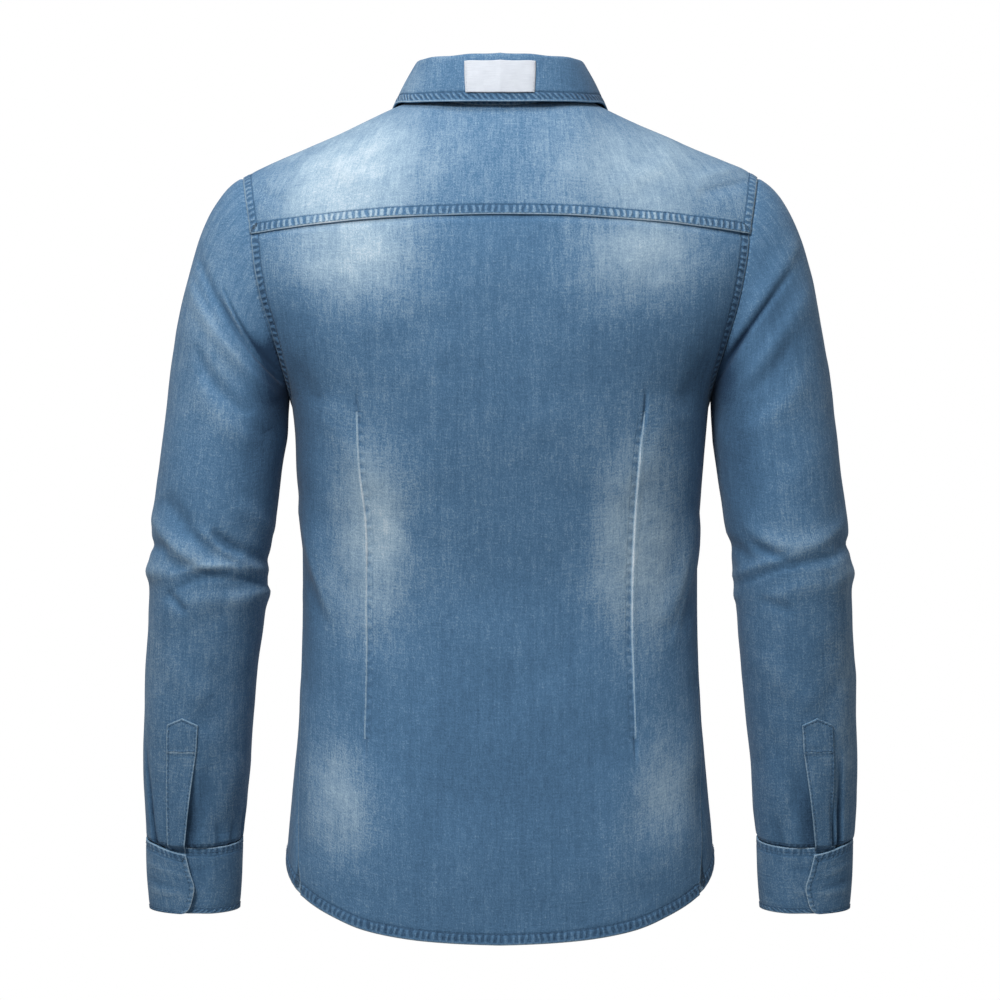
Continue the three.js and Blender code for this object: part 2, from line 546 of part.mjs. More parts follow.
// The collar's stand: up from the neckline, leaning in a little, its over end past the middle of the front.
function standEdge(angle, up) {
  const foot = Math.abs(angle) > neckAngleOf(CLOSING.half) ? lapZ : neckline(angle).z;
  const side = Math.sign(angle) || 1;
  const past = Math.max(0, Math.abs(angle) - 180);
  const whole = read(STAND_HEIGHT, "angle", "high", Math.abs(angle) - 2 * past);
  const high = whole - STAND.cut * Math.max(0, past - STAND.cutAngle);
  const lean = STAND.lean * up;
  const x = (NECK.halfWidth - lean) * Math.sin(angle * RAD);
  const y = NECK.y - STAND.sway * up + (NECK.halfDepth - lean) * Math.cos(angle * RAD);
  const inFront = smooth((Math.abs(angle) - STAND.tuckAngle) / STAND.tuckOver);
  const tucked = side < 0 ? (DOUBLE + 2 * SEAM) * inFront : 0;
  const shrink = 1 - tucked / (NECK.halfDepth + 2);
  return new THREE.Vector3(x * shrink, y * shrink, foot + SEAM + up * high);
}
function standGrid() {
  const lap = neckAngleOf(CLOSING.half);
  const side = [...NECK_BACK.slice(1), ...NECK_FRONT, lap, 180, 187, 360 - lap];
  const angles = [...side.map((angle) => -angle).reverse(), 0, ...side];
  return steps(0, 1, 3).map((up) => angles.map((angle) => standEdge(angle, up)));
}

// The collar's fall: over the stand's top edge and down outside, to its free edge.
function fallPoint(share, down) {
  const side = Math.sign(share) || 1;
  const at = Math.abs(share);
  const angle = at * FALL.endAngle;
  const top = standEdge(angle, 1);
  const out = new THREE.Vector3(Math.sin(angle * RAD), Math.cos(angle * RAD), 0);
  const edge = new THREE.Vector3(...["x", "y", "z"].map((axis) => read(FALL_EDGE, "share", axis, at)));
  const fold = STAND.fold;
  const roll = [
    [-DOUBLE * 0.1, 0.5],
    [0.3, 0.6 * fold],
    [2.2, fold + 0.4],
    [4.6, fold],
    [6.2, 0.35 * fold],
  ];
  let p;
  if (down <= 0) {
    const [r, z] = roll[down + roll.length - 1];
    p = top.clone().addScaledVector(out, r);
    p.z += z;
  } else {
    const start = top.clone().addScaledVector(out, roll[4][0]);
    start.z += roll[4][1];
    p = start.lerp(edge, down);
    p.addScaledVector(out, FALL.bulge * Math.sin(Math.PI * down));
  }
  p.x *= side;
  return p;
}
const FALL_ROWS = [1, 0.8, 0.6, 0.4, 0.2, 0, -1, -2, -3, -4];
const fallGrid = () => {
  const shares = steps(-1, 1, 36);
  return FALL_ROWS.map((down) => shares.map((share) => fallPoint(share, down)));
};

// The bare label on the back of the collar, on the fall's own points moved out.
function labelGrid() {
  const widest = LABEL.halfWidth / FALL.halfLength;
  return steps(LABEL.bottom, LABEL.top, 3).map((down) =>
    steps(-widest, widest, 6).map((share) => {
      const p = fallPoint(share, down);
      const angle = share * FALL.endAngle * RAD;
      const out = new THREE.Vector3(Math.sin(angle), Math.cos(angle), 0.1);
      return p.addScaledVector(out, LABEL.thick + LABEL.above);
    }),
  );
}

// The strip that carries the buttonholes, on the left front's last columns moved out.
function stripGrid(front) {
  return front.map((row) =>
    row.slice(-3).map((p, k) => new THREE.Vector3(p.x + (k === 2 ? SEAM : 0), p.y - STRIP - SEAM, p.z)),
  );
}

// A button: a turned disc with a raised rim. It lies above a point, turned to the normal there.
function button(name, point, normal) {
  const profile = [
    [0, 0],
    [BUTTON.radius * 0.86, 0],
    [BUTTON.radius, BUTTON.thick * 0.45],
    [BUTTON.radius * 0.9, BUTTON.thick],
    [BUTTON.radius * 0.7, BUTTON.thick * 0.66],
    [0, BUTTON.thick * 0.66],
  ].map(([r, h]) => new THREE.Vector2(r, h));
  const mesh = new THREE.Mesh(new THREE.LatheGeometry(profile, BUTTON.sides), horn);
  mesh.name = name;
  mesh.quaternion.setFromUnitVectors(new THREE.Vector3(0, 1, 0), normal);
  mesh.position.copy(point).addScaledVector(normal, BUTTON.above);
  shirt.add(mesh);
}
// On the strip, the seat is a point of the line between two of its own middle points.
function frontButton(name, z, strip) {
  const middle = strip.map((row) => row[1]);
  const low = middle[middle.findIndex((p) => p.z > z) - 1];
  const high = middle[middle.findIndex((p) => p.z > z)];
  const slope = high.clone().sub(low);
  const normal = new THREE.Vector3(0, -slope.z, slope.y).normalize();
  button(name, low.clone().lerp(high, (z - low.z) / slope.z), normal);
}

// Finishes.
const denim = new THREE.MeshStandardMaterial({ color: "#50708c", roughness: 0.92, metalness: 0 });
const white = new THREE.MeshStandardMaterial({ color: "#e2e6ee", roughness: 0.75, metalness: 0 });
const horn = new THREE.MeshStandardMaterial({ color: "#d8d4c8", roughness: 0.4, metalness: 0 });

const shirt = new THREE.Group();
function add(name, geometry, material) {
  const mesh = new THREE.Mesh(geometry, material);
  mesh.name = name;
  shirt.add(mesh);
}
const leftFront = frontGrid(0);
const strip = stripGrid(leftFront);
const leftPlacket = placketGrid(LEFT_SLEEVE_FOLDS);
const rightPlacket = placketGrid(RIGHT_SLEEVE_FOLDS);
add("back", wall(backGrid(), CLOTH), denim);
add("yoke", wall(yokeGrid(), CLOTH), denim);
add("front_left", wall(leftFront, CLOTH), denim);
add("front_right", wall(mirrored(frontGrid(CLOSING.under)), CLOTH), denim);
add("front_strip", wall(strip, STRIP), denim);
add("collar_stand", wall(standGrid(), DOUBLE), denim);
add("collar_fall", wall(fallGrid(), CLOTH), denim);
add("label", wall(labelGrid(), LABEL.thick), white);
add("sleeve_left", wall(sleeveGrid(LEFT_SLEEVE_FOLDS), CLOTH, true), denim);
add("sleeve_right", wall(mirrored(sleeveGrid(RIGHT_SLEEVE_FOLDS)), CLOTH, true), denim);
add("cuff_left", wall(cuffGrid(), DOUBLE), denim);
add("cuff_right", wall(mirrored(cuffGrid()), DOUBLE), denim);
add("placket_left", wall(leftPlacket, STRIP), denim);
add("placket_right", wall(mirrored(rightPlacket), STRIP), denim);
const neckSlope = standEdge(180, 1).sub(standEdge(180, 0));
button("button_1", standEdge(180, 0.5), new THREE.Vector3(0, -neckSlope.z, neckSlope.y).normalize());
for (let i = 0; i < CLOSING.buttons; i++) {
  frontButton(`button_${i + 2}`, CLOSING.first - i * CLOSING.pitch, strip);
}

export default shirt;
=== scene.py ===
# %% [markdown]
# A denim shirt from behind, filled out as if worn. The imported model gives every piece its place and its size. This
# script gives each piece its cloth: a finer surface on the same form, with folds, seams, stitches and a washed denim.
# Lengths are worked out in millimetres, as a tailor would, and turned to metres when a mesh is made.

import bpy
import numpy as np
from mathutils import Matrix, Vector


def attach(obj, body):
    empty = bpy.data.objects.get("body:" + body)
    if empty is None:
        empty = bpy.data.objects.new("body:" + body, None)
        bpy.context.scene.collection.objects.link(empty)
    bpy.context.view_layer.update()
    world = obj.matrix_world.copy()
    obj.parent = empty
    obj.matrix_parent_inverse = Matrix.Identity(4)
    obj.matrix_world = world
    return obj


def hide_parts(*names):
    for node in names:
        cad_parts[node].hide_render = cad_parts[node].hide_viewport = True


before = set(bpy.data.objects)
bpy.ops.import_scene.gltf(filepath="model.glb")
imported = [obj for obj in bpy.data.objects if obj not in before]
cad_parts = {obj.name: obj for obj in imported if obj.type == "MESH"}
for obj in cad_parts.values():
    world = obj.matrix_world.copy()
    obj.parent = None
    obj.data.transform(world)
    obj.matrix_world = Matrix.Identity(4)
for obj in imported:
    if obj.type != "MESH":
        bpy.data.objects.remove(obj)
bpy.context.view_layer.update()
MM = 0.001
print("CAD nodes:", sorted(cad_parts))

# %% [markdown]
# Most shapes below are smooth curves through a short table, or a smooth step between two values. Two helpers do that
# for whole arrays at once.


# %% Curves and steps
def through(keys, values, at):
    """A smooth curve through a table. Between two keys it is a cubic whose slope at each key is that of the straight
    line between the key's two neighbours."""
    order = np.argsort(keys)
    k = np.asarray(keys, float)[order]
    v = np.asarray(values, float)[order]
    at = np.asarray(at, float)
    before = np.maximum(np.arange(len(k)) - 1, 0)
    after = np.minimum(np.arange(len(k)) + 1, len(k) - 1)
    slope = (v[after] - v[before]) / (k[after] - k[before])
    i = np.clip(np.searchsorted(k, at, side="right") - 1, 0, len(k) - 2)
    wide = k[i + 1] - k[i]
    t = np.clip((at - k[i]) / wide, 0, 1)
    bend = wide * (slope[i] * (t**3 - 2 * t**2 + t) + slope[i + 1] * (t**3 - t**2))
    return v[i] * (2 * t**3 - 3 * t**2 + 1) + v[i + 1] * (3 * t**2 - 2 * t**3) + bend


def ease(t):
    """A smooth step: 0 below 0, 1 above 1, and 3t2 - 2t3 between."""
    t = np.clip(t, 0, 1)
    return t * t * (3 - 2 * t)


def mix(a, b, t):
    """The straight line from a to b."""
    return a + (b - a) * t


def soft_noise(u, v, size, seed):
    """Smooth random waves from -1 to 1: a random number at each point of a square lattice of the given size, and
    smooth steps between neighbouring points."""
    table = np.random.default_rng(seed).uniform(-1, 1, (64, 64))
    x = np.asarray(u) / size
    y = np.asarray(v) / size
    i = np.floor(x).astype(int)
    j = np.floor(y).astype(int)
    s = ease(x - i)
    t = ease(y - j)
    low = mix(table[i % 64, j % 64], table[(i + 1) % 64, j % 64], s)
    high = mix(table[i % 64, (j + 1) % 64], table[(i + 1) % 64, (j + 1) % 64], s)
    return mix(low, high, t)


# %% [markdown]
# The body is an oval tube whose half width and depth change with height and which rounds over into the shoulders.
# These are the numbers of the solid, so that each panel lies on the one it stands for. An angle of 0 is the middle of
# the back and 180 degrees the middle of the front.

# %% The body's form
SECTION = 2.4
CREST = 190
BODY_Z = [-740, -653, -600, -540, -480, -418, -360, -304, -277, -250, -223, -200, -154, -100, -60, 0, 30]
BODY_WIDTH = [187, 186, 181, 175.5, 172.6, 171.4, 172.3, 176.6, 178.7, 182, 191, 181, 181, 181, 181, 181, 181]
BODY_BACK = [117, 115, 110, 102, 95, 92, 98, 108, 112.5, 116, 118.6, 120, 121, 120, 119, 118, 118]
BODY_FRONT = [110, 107, 103, 100, 98, 99, 105, 113, 116, 117, 116.4, 115, 106, 94, 87, 84, 84]
SHOULDER_X = [0, 50, 72, 94, 131, 171, 211, 223]
SHOULDER_Z = [22.5, 16, 10, 0, -17.4, -34.8, -52, -59]
ARM_Z = [-250, -238, -225, -196, -171, -138, -111, -59]
ARM_X = [182, 183.8, 187, 196, 203.6, 210.4, 214, 223]
ARM_TOP, ARM_LOW = -59, -250
HEM_ANGLE = [0, 10, 21, 34, 45, 55, 64, 75, 90, 104, 120, 140, 160, 180]
HEM_Z = [-714, -712.5, -709.4, -703, -694, -685, -676, -664, -648, -646, -656, -676, -690, -696]
HEM_SIDE = -676
SIDE_SWING, SIDE_OVER = 27, 425


def sin(degrees):
    return np.sin(np.radians(degrees))


def cos(degrees):
    return np.cos(np.radians(degrees))


def shoulder(x):
    return through(SHOULDER_X, SHOULDER_Z, np.minimum(np.abs(x), 223))


def depth_at(z, back):
    return through(BODY_Z, BODY_BACK if back else BODY_FRONT, z)


def crest(drop):
    """How far the surface has come out at a drop below the shoulder line: a quarter circle's sine."""
    return np.sqrt(1 - (1 - np.clip(drop / CREST, 0, 1)) ** 2)


def armhole(angle):
    """A point of the armhole: 0 at the shoulder, 90 at its back, 180 under the arm, -90 in front."""
    z = mix(ARM_LOW, ARM_TOP, (1 + cos(angle)) / 2)
    reach = np.where(np.asarray(angle) > 0, 60, mix(42, 58, (1 - cos(angle)) / 2))
    return through(ARM_Z, ARM_X, z), reach * sin(angle), z


def armhole_angle(z):
    return np.degrees(np.arccos(np.clip(2 * (z - ARM_LOW) / (ARM_TOP - ARM_LOW) - 1, -1, 1)))


def section(z, back):
    """Half the width of the body's oval at a height, and the angle from the panel's middle at which it ends: at the
    side seam below the arm, at the armhole above."""
    z = np.asarray(z, float)
    seam = 90 - SIDE_SWING * np.clip((ARM_LOW - z) / SIDE_OVER, 0, 1) ** 1.6
    high = np.minimum(z, ARM_TOP - 0.5)
    x, y, _ = armhole(armhole_angle(high) * (1 if back else -1))
    share = np.abs(y) / (depth_at(high, back) * crest(shoulder(x) - high))
    end = np.degrees(np.arccos(np.clip(share, 0, 1) ** (SECTION / 2)))
    low = z <= ARM_LOW
    width = np.where(low, through(BODY_Z, BODY_WIDTH, z), x / np.maximum(sin(end), 1e-3) ** (2 / SECTION))
    return width, np.where(low, seam if back else 180 - seam, end)


def body_point(angle, z, back):
    """The oval's point: width and depth times the sine and cosine, each to the power that squares the ellipse."""
    width, _ = section(z, back)
    x = width * np.sign(angle) * np.abs(sin(angle)) ** (2 / SECTION)
    c = cos(angle)
    to_back = (c > 0) == back
    depth = np.where(to_back, depth_at(z, True), depth_at(z, False))
    y = depth * np.abs(c) ** (2 / SECTION) * crest(shoulder(x) - z)
    return np.stack([x, np.where(to_back, y, -y), z * np.ones_like(x)], -1)


def angle_of_x(x, z, back):
    share = np.minimum(1, np.abs(x) / section(z, back)[0])
    return np.sign(x) * np.degrees(np.arcsin(share ** (SECTION / 2)))


def crest_point(x, over):
    """The surface near the shoulder line, by the distance from the middle and the angle over the crest."""
    z = shoulder(x) - CREST * (1 - cos(over))
    width = np.where(over >= 0, section(z, True)[0], section(z, False)[0])
    depth = np.where(over >= 0, depth_at(z, True), depth_at(z, False))
    depth = depth * (1 - np.minimum(1, np.abs(x) / width) ** SECTION) ** (1 / SECTION)
    return np.stack([x, depth * sin(over), z], -1)


def over_of(x, z):
    return np.degrees(np.arccos(np.clip(1 - (shoulder(x) - z) / CREST, 0, 1)))


NECK_WIDE, NECK_DEEP, NECK_Y = 72, 64, -8


def neckline(angle):
    """The neckline: an ellipse seen from above, lifted to the body's surface."""
    x = NECK_WIDE * sin(angle)
    y = NECK_Y + NECK_DEEP * cos(angle)
    over = 30 * np.sign(y)
    for _ in range(12):
        depth = np.abs(crest_point(x, over)[..., 1]) / np.maximum(np.abs(sin(over)), 1e-3)
        over = np.sign(y) * np.degrees(np.arcsin(np.minimum(1, np.abs(y) / depth)))
    return x, y, shoulder(x) - CREST * (1 - cos(over)), over


print("neckline at the back, side and front:", [round(float(neckline(np.array(a))[2]), 1) for a in (0, 90, 180)])

# %% [markdown]
# A piece of cloth is a grid of points. Its rows go up and its columns go to the left as seen from outside. From the
# grid come the way out (the normal), the distances along the cloth, and the mesh. The distances feed the weave, which
# has to follow the cloth, and the stitches, which keep their distance from an edge.


# %% Grids of cloth
def normals(grid, closed=False):
    """The way out at each point: the slope up the grid crossed with the slope along it."""
    wrapped = np.concatenate([grid[:, -1:], grid, grid[:, :1]], 1) if closed else grid
    along = np.gradient(wrapped, axis=1)
    along = along[:, 1:-1] if closed else along
    out = np.cross(np.gradient(grid, axis=0), along)
    return out / np.maximum(np.linalg.norm(out, axis=-1, keepdims=True), 1e-9)


def pushed(grid, height, closed=False):
    """The grid with each point moved out by a height."""
    return grid + normals(grid, closed) * np.asarray(height)[..., None]


def lengths(grid, axis):
    """The distance along the cloth from the grid's first row or column."""
    step = np.linalg.norm(np.diff(grid, axis=axis), axis=-1)
    zero = np.zeros_like(np.take(step, [0], axis=axis))
    return np.concatenate([zero, np.cumsum(step, axis=axis)], axis)


def unrolled(grid, closed=False):
    """The grid with its first column repeated at the end if it closes on itself."""
    return np.concatenate([grid, grid[:, :1]], 1) if closed else grid


def area_of(grid, closed=False):
    """The cloth's area in square metres: for each cell, half the length of the cross product of its diagonals."""
    g = unrolled(grid, closed)
    cross = np.cross(g[1:, 1:] - g[:-1, :-1], g[1:, :-1] - g[:-1, 1:])
    return float(np.linalg.norm(cross, axis=-1).sum() / 2 * MM * MM)


def cloth_mesh(name, grid, marks, closed=False):
    """A mesh of the grid's cells, with the distances along the cloth as its UV map and each mark as an attribute."""
    rows, columns = grid.shape[:2]
    last = columns if closed else columns - 1
    i, j = np.meshgrid(np.arange(rows - 1), np.arange(last), indexing="ij")
    corner_i = np.stack([i, i + 1, i + 1, i], -1)
    corner_j = np.stack([j, j, j + 1, j + 1], -1)
    faces = (corner_i * columns + corner_j % columns).reshape(-1, 4)
    mesh = bpy.data.meshes.new(name)
    mesh.from_pydata((grid.reshape(-1, 3) * MM).tolist(), [], faces.tolist())
    full = unrolled(grid, closed)
    across = lengths(full, 1)
    across = across - across[:, across.shape[1] // 2][:, None]
    up = lengths(full, 0)
    uv = np.stack([across, up], -1)[corner_i, corner_j].reshape(-1) * MM
    mesh.uv_layers.new(name="cloth").data.foreach_set("uv", uv.astype(np.float32))
    for mark, values in marks.items():
        data = mesh.attributes.new(mark, "FLOAT", "POINT").data
        data.foreach_set("value", np.broadcast_to(values, grid.shape[:2]).reshape(-1).astype(np.float32))
    mesh.polygons.foreach_set("use_smooth", np.ones(len(mesh.polygons), bool))
    mesh.update()
    return mesh


def piece(name, node, grid, marks, material, thick=1.3, closed=False, inside=None, slot="denim"):
    """An object for a piece of cloth: its mesh, a wall laid inwards and its finish, with the solid that it stands for
    hidden.
    """
    obj = bpy.data.objects.new(name, cloth_mesh(name, grid, marks, closed))
    bpy.context.scene.collection.objects.link(obj)
    obj.data.materials.append(material)
    wall = obj.modifiers.new("wall", "SOLIDIFY")
    wall.thickness = thick * MM
    wall.offset = -1
    obj.data.materials.append(inside or material)
    # The rim takes the edge colour, darkened as painted shade.
    obj.data.materials.append(RIM_EDGE_SHADE if slot == "denim" else material)
    wall.material_offset, wall.material_offset_rim = 1, 2
    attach(obj, "root")
    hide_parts(node)
    print(name, grid.shape[:2], "cells", (grid.shape[0] - 1) * (grid.shape[1] - 1) * 4, "triangles",
          round(area_of(grid, closed), 3), "m2")
    return obj


# %% [markdown]
# Folds are soft ridges and troughs along a slightly bowed line, full in the middle and fading at both ends. Each is
# one row of a table: where it starts and ends as seen from behind, how far its middle bows, its width and its height.


# %% Folds
def fold_sum(x, z, folds):
    """The sum over all folds of height times a sine along the line times a bell across it. The bell has its own width
    above the line and below it, so that a fold can be soft on one side and crisp on the other."""
    total = np.zeros(np.broadcast(x, z).shape)
    for x0, z0, x1, z1, bow, above, below, height in folds:
        dx, dz = x1 - x0, z1 - z0
        length = np.hypot(dx, dz)
        along = ((x - x0) * dx + (z - z0) * dz) / length**2
        inside = np.clip(along, 0, 1)
        across = ((z - z0) * dx - (x - x0) * dz) / length - bow * 4 * inside * (1 - inside)
        width = np.where(across * np.sign(dx) > 0, above, below)
        total += height * np.sin(np.pi * inside) ** 0.6 * np.exp(-((across / width) ** 2))
    return total


# Each row: x0, z0, x1, z1, bow, width above, width below, height. The wearer's left is at positive x.
BACK_FOLDS = [
    (171, -335, 138, -440, 4, 10, 10, 3.0),
    (-171, -352, -142, -446, -4, 10, 10, 3.0),
    (176, -352, 150, -450, 3, 7, 7, -2.0),
    (-176, -368, -152, -455, -3, 7, 7, -2.0),
    (168, -500, 158, -640, 0, 12, 12, 2.0),
    (-168, -500, -158, -640, 0, 12, 12, 2.0),
    (150, -250, 100, -330, 6, 14, 14, 1.4),
    (-150, -250, -96, -340, -6, 14, 14, 1.4),
    (60, -430, -50, -470, 10, 22, 22, 0.9),
    (-70, -500, 60, -540, -8, 24, 24, 0.8),
    (176, -215, 150, -262, 3, 8, 8, -1.6),
    (-176, -215, -150, -262, -3, 8, 8, -1.6),
    (90, -560, 100, -700, 0, 16, 16, 1.2),
    (-92, -560, -98, -700, 0, 16, 16, 1.2),
    (20, -590, 28, -710, 0, 20, 20, 0.8),
    (174, -342, 140, -448, 3, 2.6, 5, 1.3),
    (166, -256, 131, -266, 0, 1.8, 2.6, 0.8),
    (158, -268, 138, -277, 0, 1.8, 2.6, 0.7),
    (-168, -268, -134, -274, 0, 1.8, 2.6, 0.6),
    (-176, -358, -147, -464, -2, 2.6, 5, 1.3),
]
BACK_WEAR_AND_SHADE = [
    # name, x, z, half width, half height, strength
    ("yoke left", 117, -50, 60, 46, 0.66),
    ("yoke left outer", 160, -75, 34, 30, 0.26),
    ("yoke right", -122, -54, 66, 42, 0.44),
    ("below yoke left", 126, -134, 56, 40, 0.66),
    ("below yoke right", -122, -134, 54, 38, 0.54),
    ("dart left", 108, -372, 34, 84, 0.52),
    ("dart left heart", 100, -360, 20, 50, 0.22),
    ("dart right", -114, -376, 36, 86, 0.56),
    ("hem left", 135, -594, 25, 50, 0.56),
    ("hem right", -137, -586, 24, 50, 0.48),
    # The negative rows at the sides, the low back and the armpits are painted shade, where the body turns from the
    # lamps and under the arms; the others are real fades.
    ("side left shade", 176, -360, 22, 130, -0.34),
    ("side right shade", -178, -350, 20, 130, -0.1),
    ("back low shade", 0, -540, 100, 100, -0.16),
    ("armpit left shade", 188, -238, 26, 60, -0.16),
    ("armpit right shade", -188, -238, 26, 60, -0.2),
]


def fade_sum(x, z, fades):
    """The sum of soft ovals: strength times a bell in both directions."""
    total = np.zeros(np.broadcast(x, z).shape)
    for _, x0, z0, wide, high, strength in fades:
        total += strength * np.exp(-(((x - x0) / wide) ** 2) - ((z - z0) / high) ** 2)
    return total


# %% [markdown]
# A stitched seam has three things that show: the turned edge lies a little higher, the row of stitches sinks in, and
# between the two the cloth puckers. The height comes from the distance to the edge. The puckers are too fine for the
# mesh, so the material makes them from the same distance, as a bump with painted shade in their hollows and along the
# stitches.

# %% Seams
FAR = 99.0


def seam_height(distance, band, lift=0.8, sink=0.45):
    """The turned edge's lift, ending at the row of stitches, less the groove that the stitches pull in."""
    return lift * (1 - ease((distance - band + 1.5) / 3)) - sink * np.exp(-(((distance - band) / 1.3) ** 2))


def seam_marks(*seams):
    """What the material needs to know of the nearest seam: the distance from its edge as a share of the stitched
    band's width, that width, the distance along it, and how strongly it puckers. Each seam is (distance, along, band,
    pucker)."""
    shape = np.broadcast_shapes(*(np.shape(seam[0]) for seam in seams))
    share = np.stack([np.broadcast_to(d / band, shape) for d, _, band, _ in seams])
    which = share.argmin(0)[None]
    pick = lambda values: np.take_along_axis(np.stack([np.broadcast_to(v, shape) for v in values]), which, 0)[0]
    return dict(
        seam_t=np.minimum(pick(list(share)), 9.0),
        band=pick([seam[2] for seam in seams]),
        seam_s=pick([seam[1] for seam in seams]),
        pucker=pick([seam[3] for seam in seams]),
    )


def closer(first, second):
    """Of two edges, each (distance, along), the nearer one at every point."""
    near = first[0] < second[0]
    return np.where(near, first[0], second[0]), np.where(near, first[1], second[1])


def edge_marks(grid, line):
    """For each point of a grid, how far it is from a line of points and how far along the line that is. The nearest
    point of the line gives the place, and its direction corrects it."""
    step = np.gradient(line, axis=0)
    way = step / np.linalg.norm(step, axis=-1, keepdims=True)
    along = lengths(line, 0)
    distance = np.empty(grid.shape[:2])
    place = np.empty(grid.shape[:2])
    for i, row in enumerate(grid):
        k = np.linalg.norm(row[:, None] - line[None], axis=-1).argmin(1)
        gap = row - line[k]
        ahead = (gap * way[k]).sum(-1)
        distance[i] = np.linalg.norm(gap - ahead[:, None] * way[k], axis=-1)
        beyond = ((k == 0) & (ahead < 0)) | ((k == len(line) - 1) & (ahead > 0))
        distance[i] = np.where(beyond, np.linalg.norm(gap, axis=-1), distance[i])
        place[i] = along[k] + ahead
    return distance, place


def mirrored(grid):
    """The same piece for the wearer's right side."""
    return grid[:, ::-1] * np.array([-1, 1, 1])


def for_side(grid, marks, mirror):
    """A piece and its marks, both turned round for the wearer's right side where asked."""
    marks = {name: np.broadcast_to(values, grid.shape[:2]) for name, values in marks.items()}
    if not mirror:
        return grid, marks
    return mirrored(grid), {name: values[:, ::-1] for name, values in marks.items()}


# %% [markdown]
# The back hangs from the yoke's seam to the curved hem. Its edges are the armholes above and the side seams below. It
# runs a little way up under the yoke, as the seam allowance does, so that the yoke's turned edge throws its own
# shadow. The two long darts are real tucks: a sharp line, a valley beside it and a soft ridge outside it.

# %% The back
YOKE_BACK, YOKE_END = -98.8, -111.6
YOKE_FRONT_ANGLE, YOKE_NECK_ANGLE = 43, 115
SEAM_GAP = 0.4
HEM_BAND, SEAM_BAND, YOKE_BAND = 9.0, 7.5, 9.0
UNDER = 7.0
YOKE_END_X = float(armhole(armhole_angle(YOKE_END))[0])
END_ANGLE = float(armhole_angle(YOKE_END))


def yoke_back_z(x):
    return mix(YOKE_BACK, YOKE_END, (np.abs(x) / YOKE_END_X) ** 2.2)


def panel_z(foot, head, side_foot, side_head, low, arm_angles, above=()):
    """Heights of a panel's points: rows are shares of the way from foot to head, and one runs through the point under
    the arm. Rows are given as heights on the side: low ones, then ones by the armhole's angle, then ones above."""
    side = np.concatenate([low, armhole(arm_angles)[2], above])
    share = ((side - side_foot) / (side_head - side_foot))[:, None]
    return mix(foot, head, share)


DART_Z = [-546, -484, -422, -365, -319, -299, -262]
DART_LEFT = [115.5, 114, 114, 114.3, 118.5, 120, 122.8]
DART_RIGHT = [116, 113.8, 112.8, 114.7, 117.2, 119, 124.4]


def dart_height(x, z, table, seed):
    """A tuck's height: valley, sharp line and outer ridge, each a bell across, full for most of the length."""
    t = (z + 546) / (546 - 260)
    full = np.sin(np.pi * np.clip(t, 0, 1)) ** 0.4
    d = np.abs(x) - through(DART_Z, table, z)
    uneven = 1 + 0.5 * soft_noise(z, 0 * z, 17, seed)
    inner = ease(-d / 1.4) * np.exp(-np.maximum(-d - 1.4, 0) / 5.5)
    outer = np.exp(-(((d - 1.2) / 2.2) ** 2))
    tips = np.exp(-(((z + 262) / 12) ** 2)) + 0.8 * np.exp(-(((z + 548) / 10) ** 2))
    pinch = -2.2 * tips * np.exp(-(((d + 0.6) / 1.6) ** 2))
    return full * (0.45 * outer - 1.5 * uneven * inner) + pinch, d, full


def back_grid():
    beside_dart = np.linspace(0.418, 0.512, 44)
    share = np.unique(np.concatenate([np.linspace(-1, 1, 229), beside_dart, -beside_dart]))
    foot = np.full_like(share, HEM_SIDE)
    for _ in range(12):
        foot = through(HEM_ANGLE, HEM_Z, np.abs(share) * section(foot, True)[1])
    head = np.full_like(share, YOKE_BACK)
    for _ in range(12):
        head = yoke_back_z(body_point(share * section(head, True)[1], head, True)[..., 0])
    low = np.concatenate([np.linspace(HEM_SIDE, HEM_SIDE + 12, 9), np.linspace(HEM_SIDE + 16, ARM_LOW - 4, 90)])
    arm_angles = np.concatenate([np.linspace(180, 72, 30), np.linspace(70.5, END_ANGLE, 7)])
    above = np.linspace(YOKE_END + 1, YOKE_END + UNDER, 5)
    z = panel_z(foot, head, HEM_SIDE, YOKE_END, low, arm_angles, above)
    angle = share * section(z, True)[1]
    return body_point(angle, z, True), head


BODY_NOISE = [(46, 0.8, 3), (21, 0.35, 4)]


def undulation(x, z, waves):
    """The cloth's soft unevenness: noise of a few sizes, each with its own height."""
    return sum(height * soft_noise(x, z, size, seed) for size, height, seed in waves)


flat_back, seam_line_z = back_grid()
x, y, z = np.moveaxis(flat_back, -1, 0)
armhole_angles = np.linspace(0, 360, 500)
ARM_LINE = np.stack(np.broadcast_arrays(*armhole(np.where(armhole_angles > 180, armhole_angles - 360, armhole_angles))), -1)
ARM_LINE_RIGHT = ARM_LINE * [-1, 1, 1]
hem_d, hem_s = edge_marks(flat_back, flat_back[0])
arm_d, arm_s = closer(edge_marks(flat_back, ARM_LINE), edge_marks(flat_back, ARM_LINE_RIGHT))
side_d = np.minimum(*(np.abs(lengths(flat_back, 1) - e) for e in (0, lengths(flat_back, 1)[:, -1:])))
side_d = np.where(z < ARM_LOW, side_d, FAR)
top_d = yoke_back_z(x) - z
is_left = x > 0
dart_left, dart_left_d, dart_full = dart_height(x, z, DART_LEFT, 11)
dart_right, dart_right_d, _ = dart_height(x, z, DART_RIGHT, 12)
dart = np.where(is_left, dart_left, dart_right)
dart_d = np.where(is_left, dart_left_d, dart_right_d)
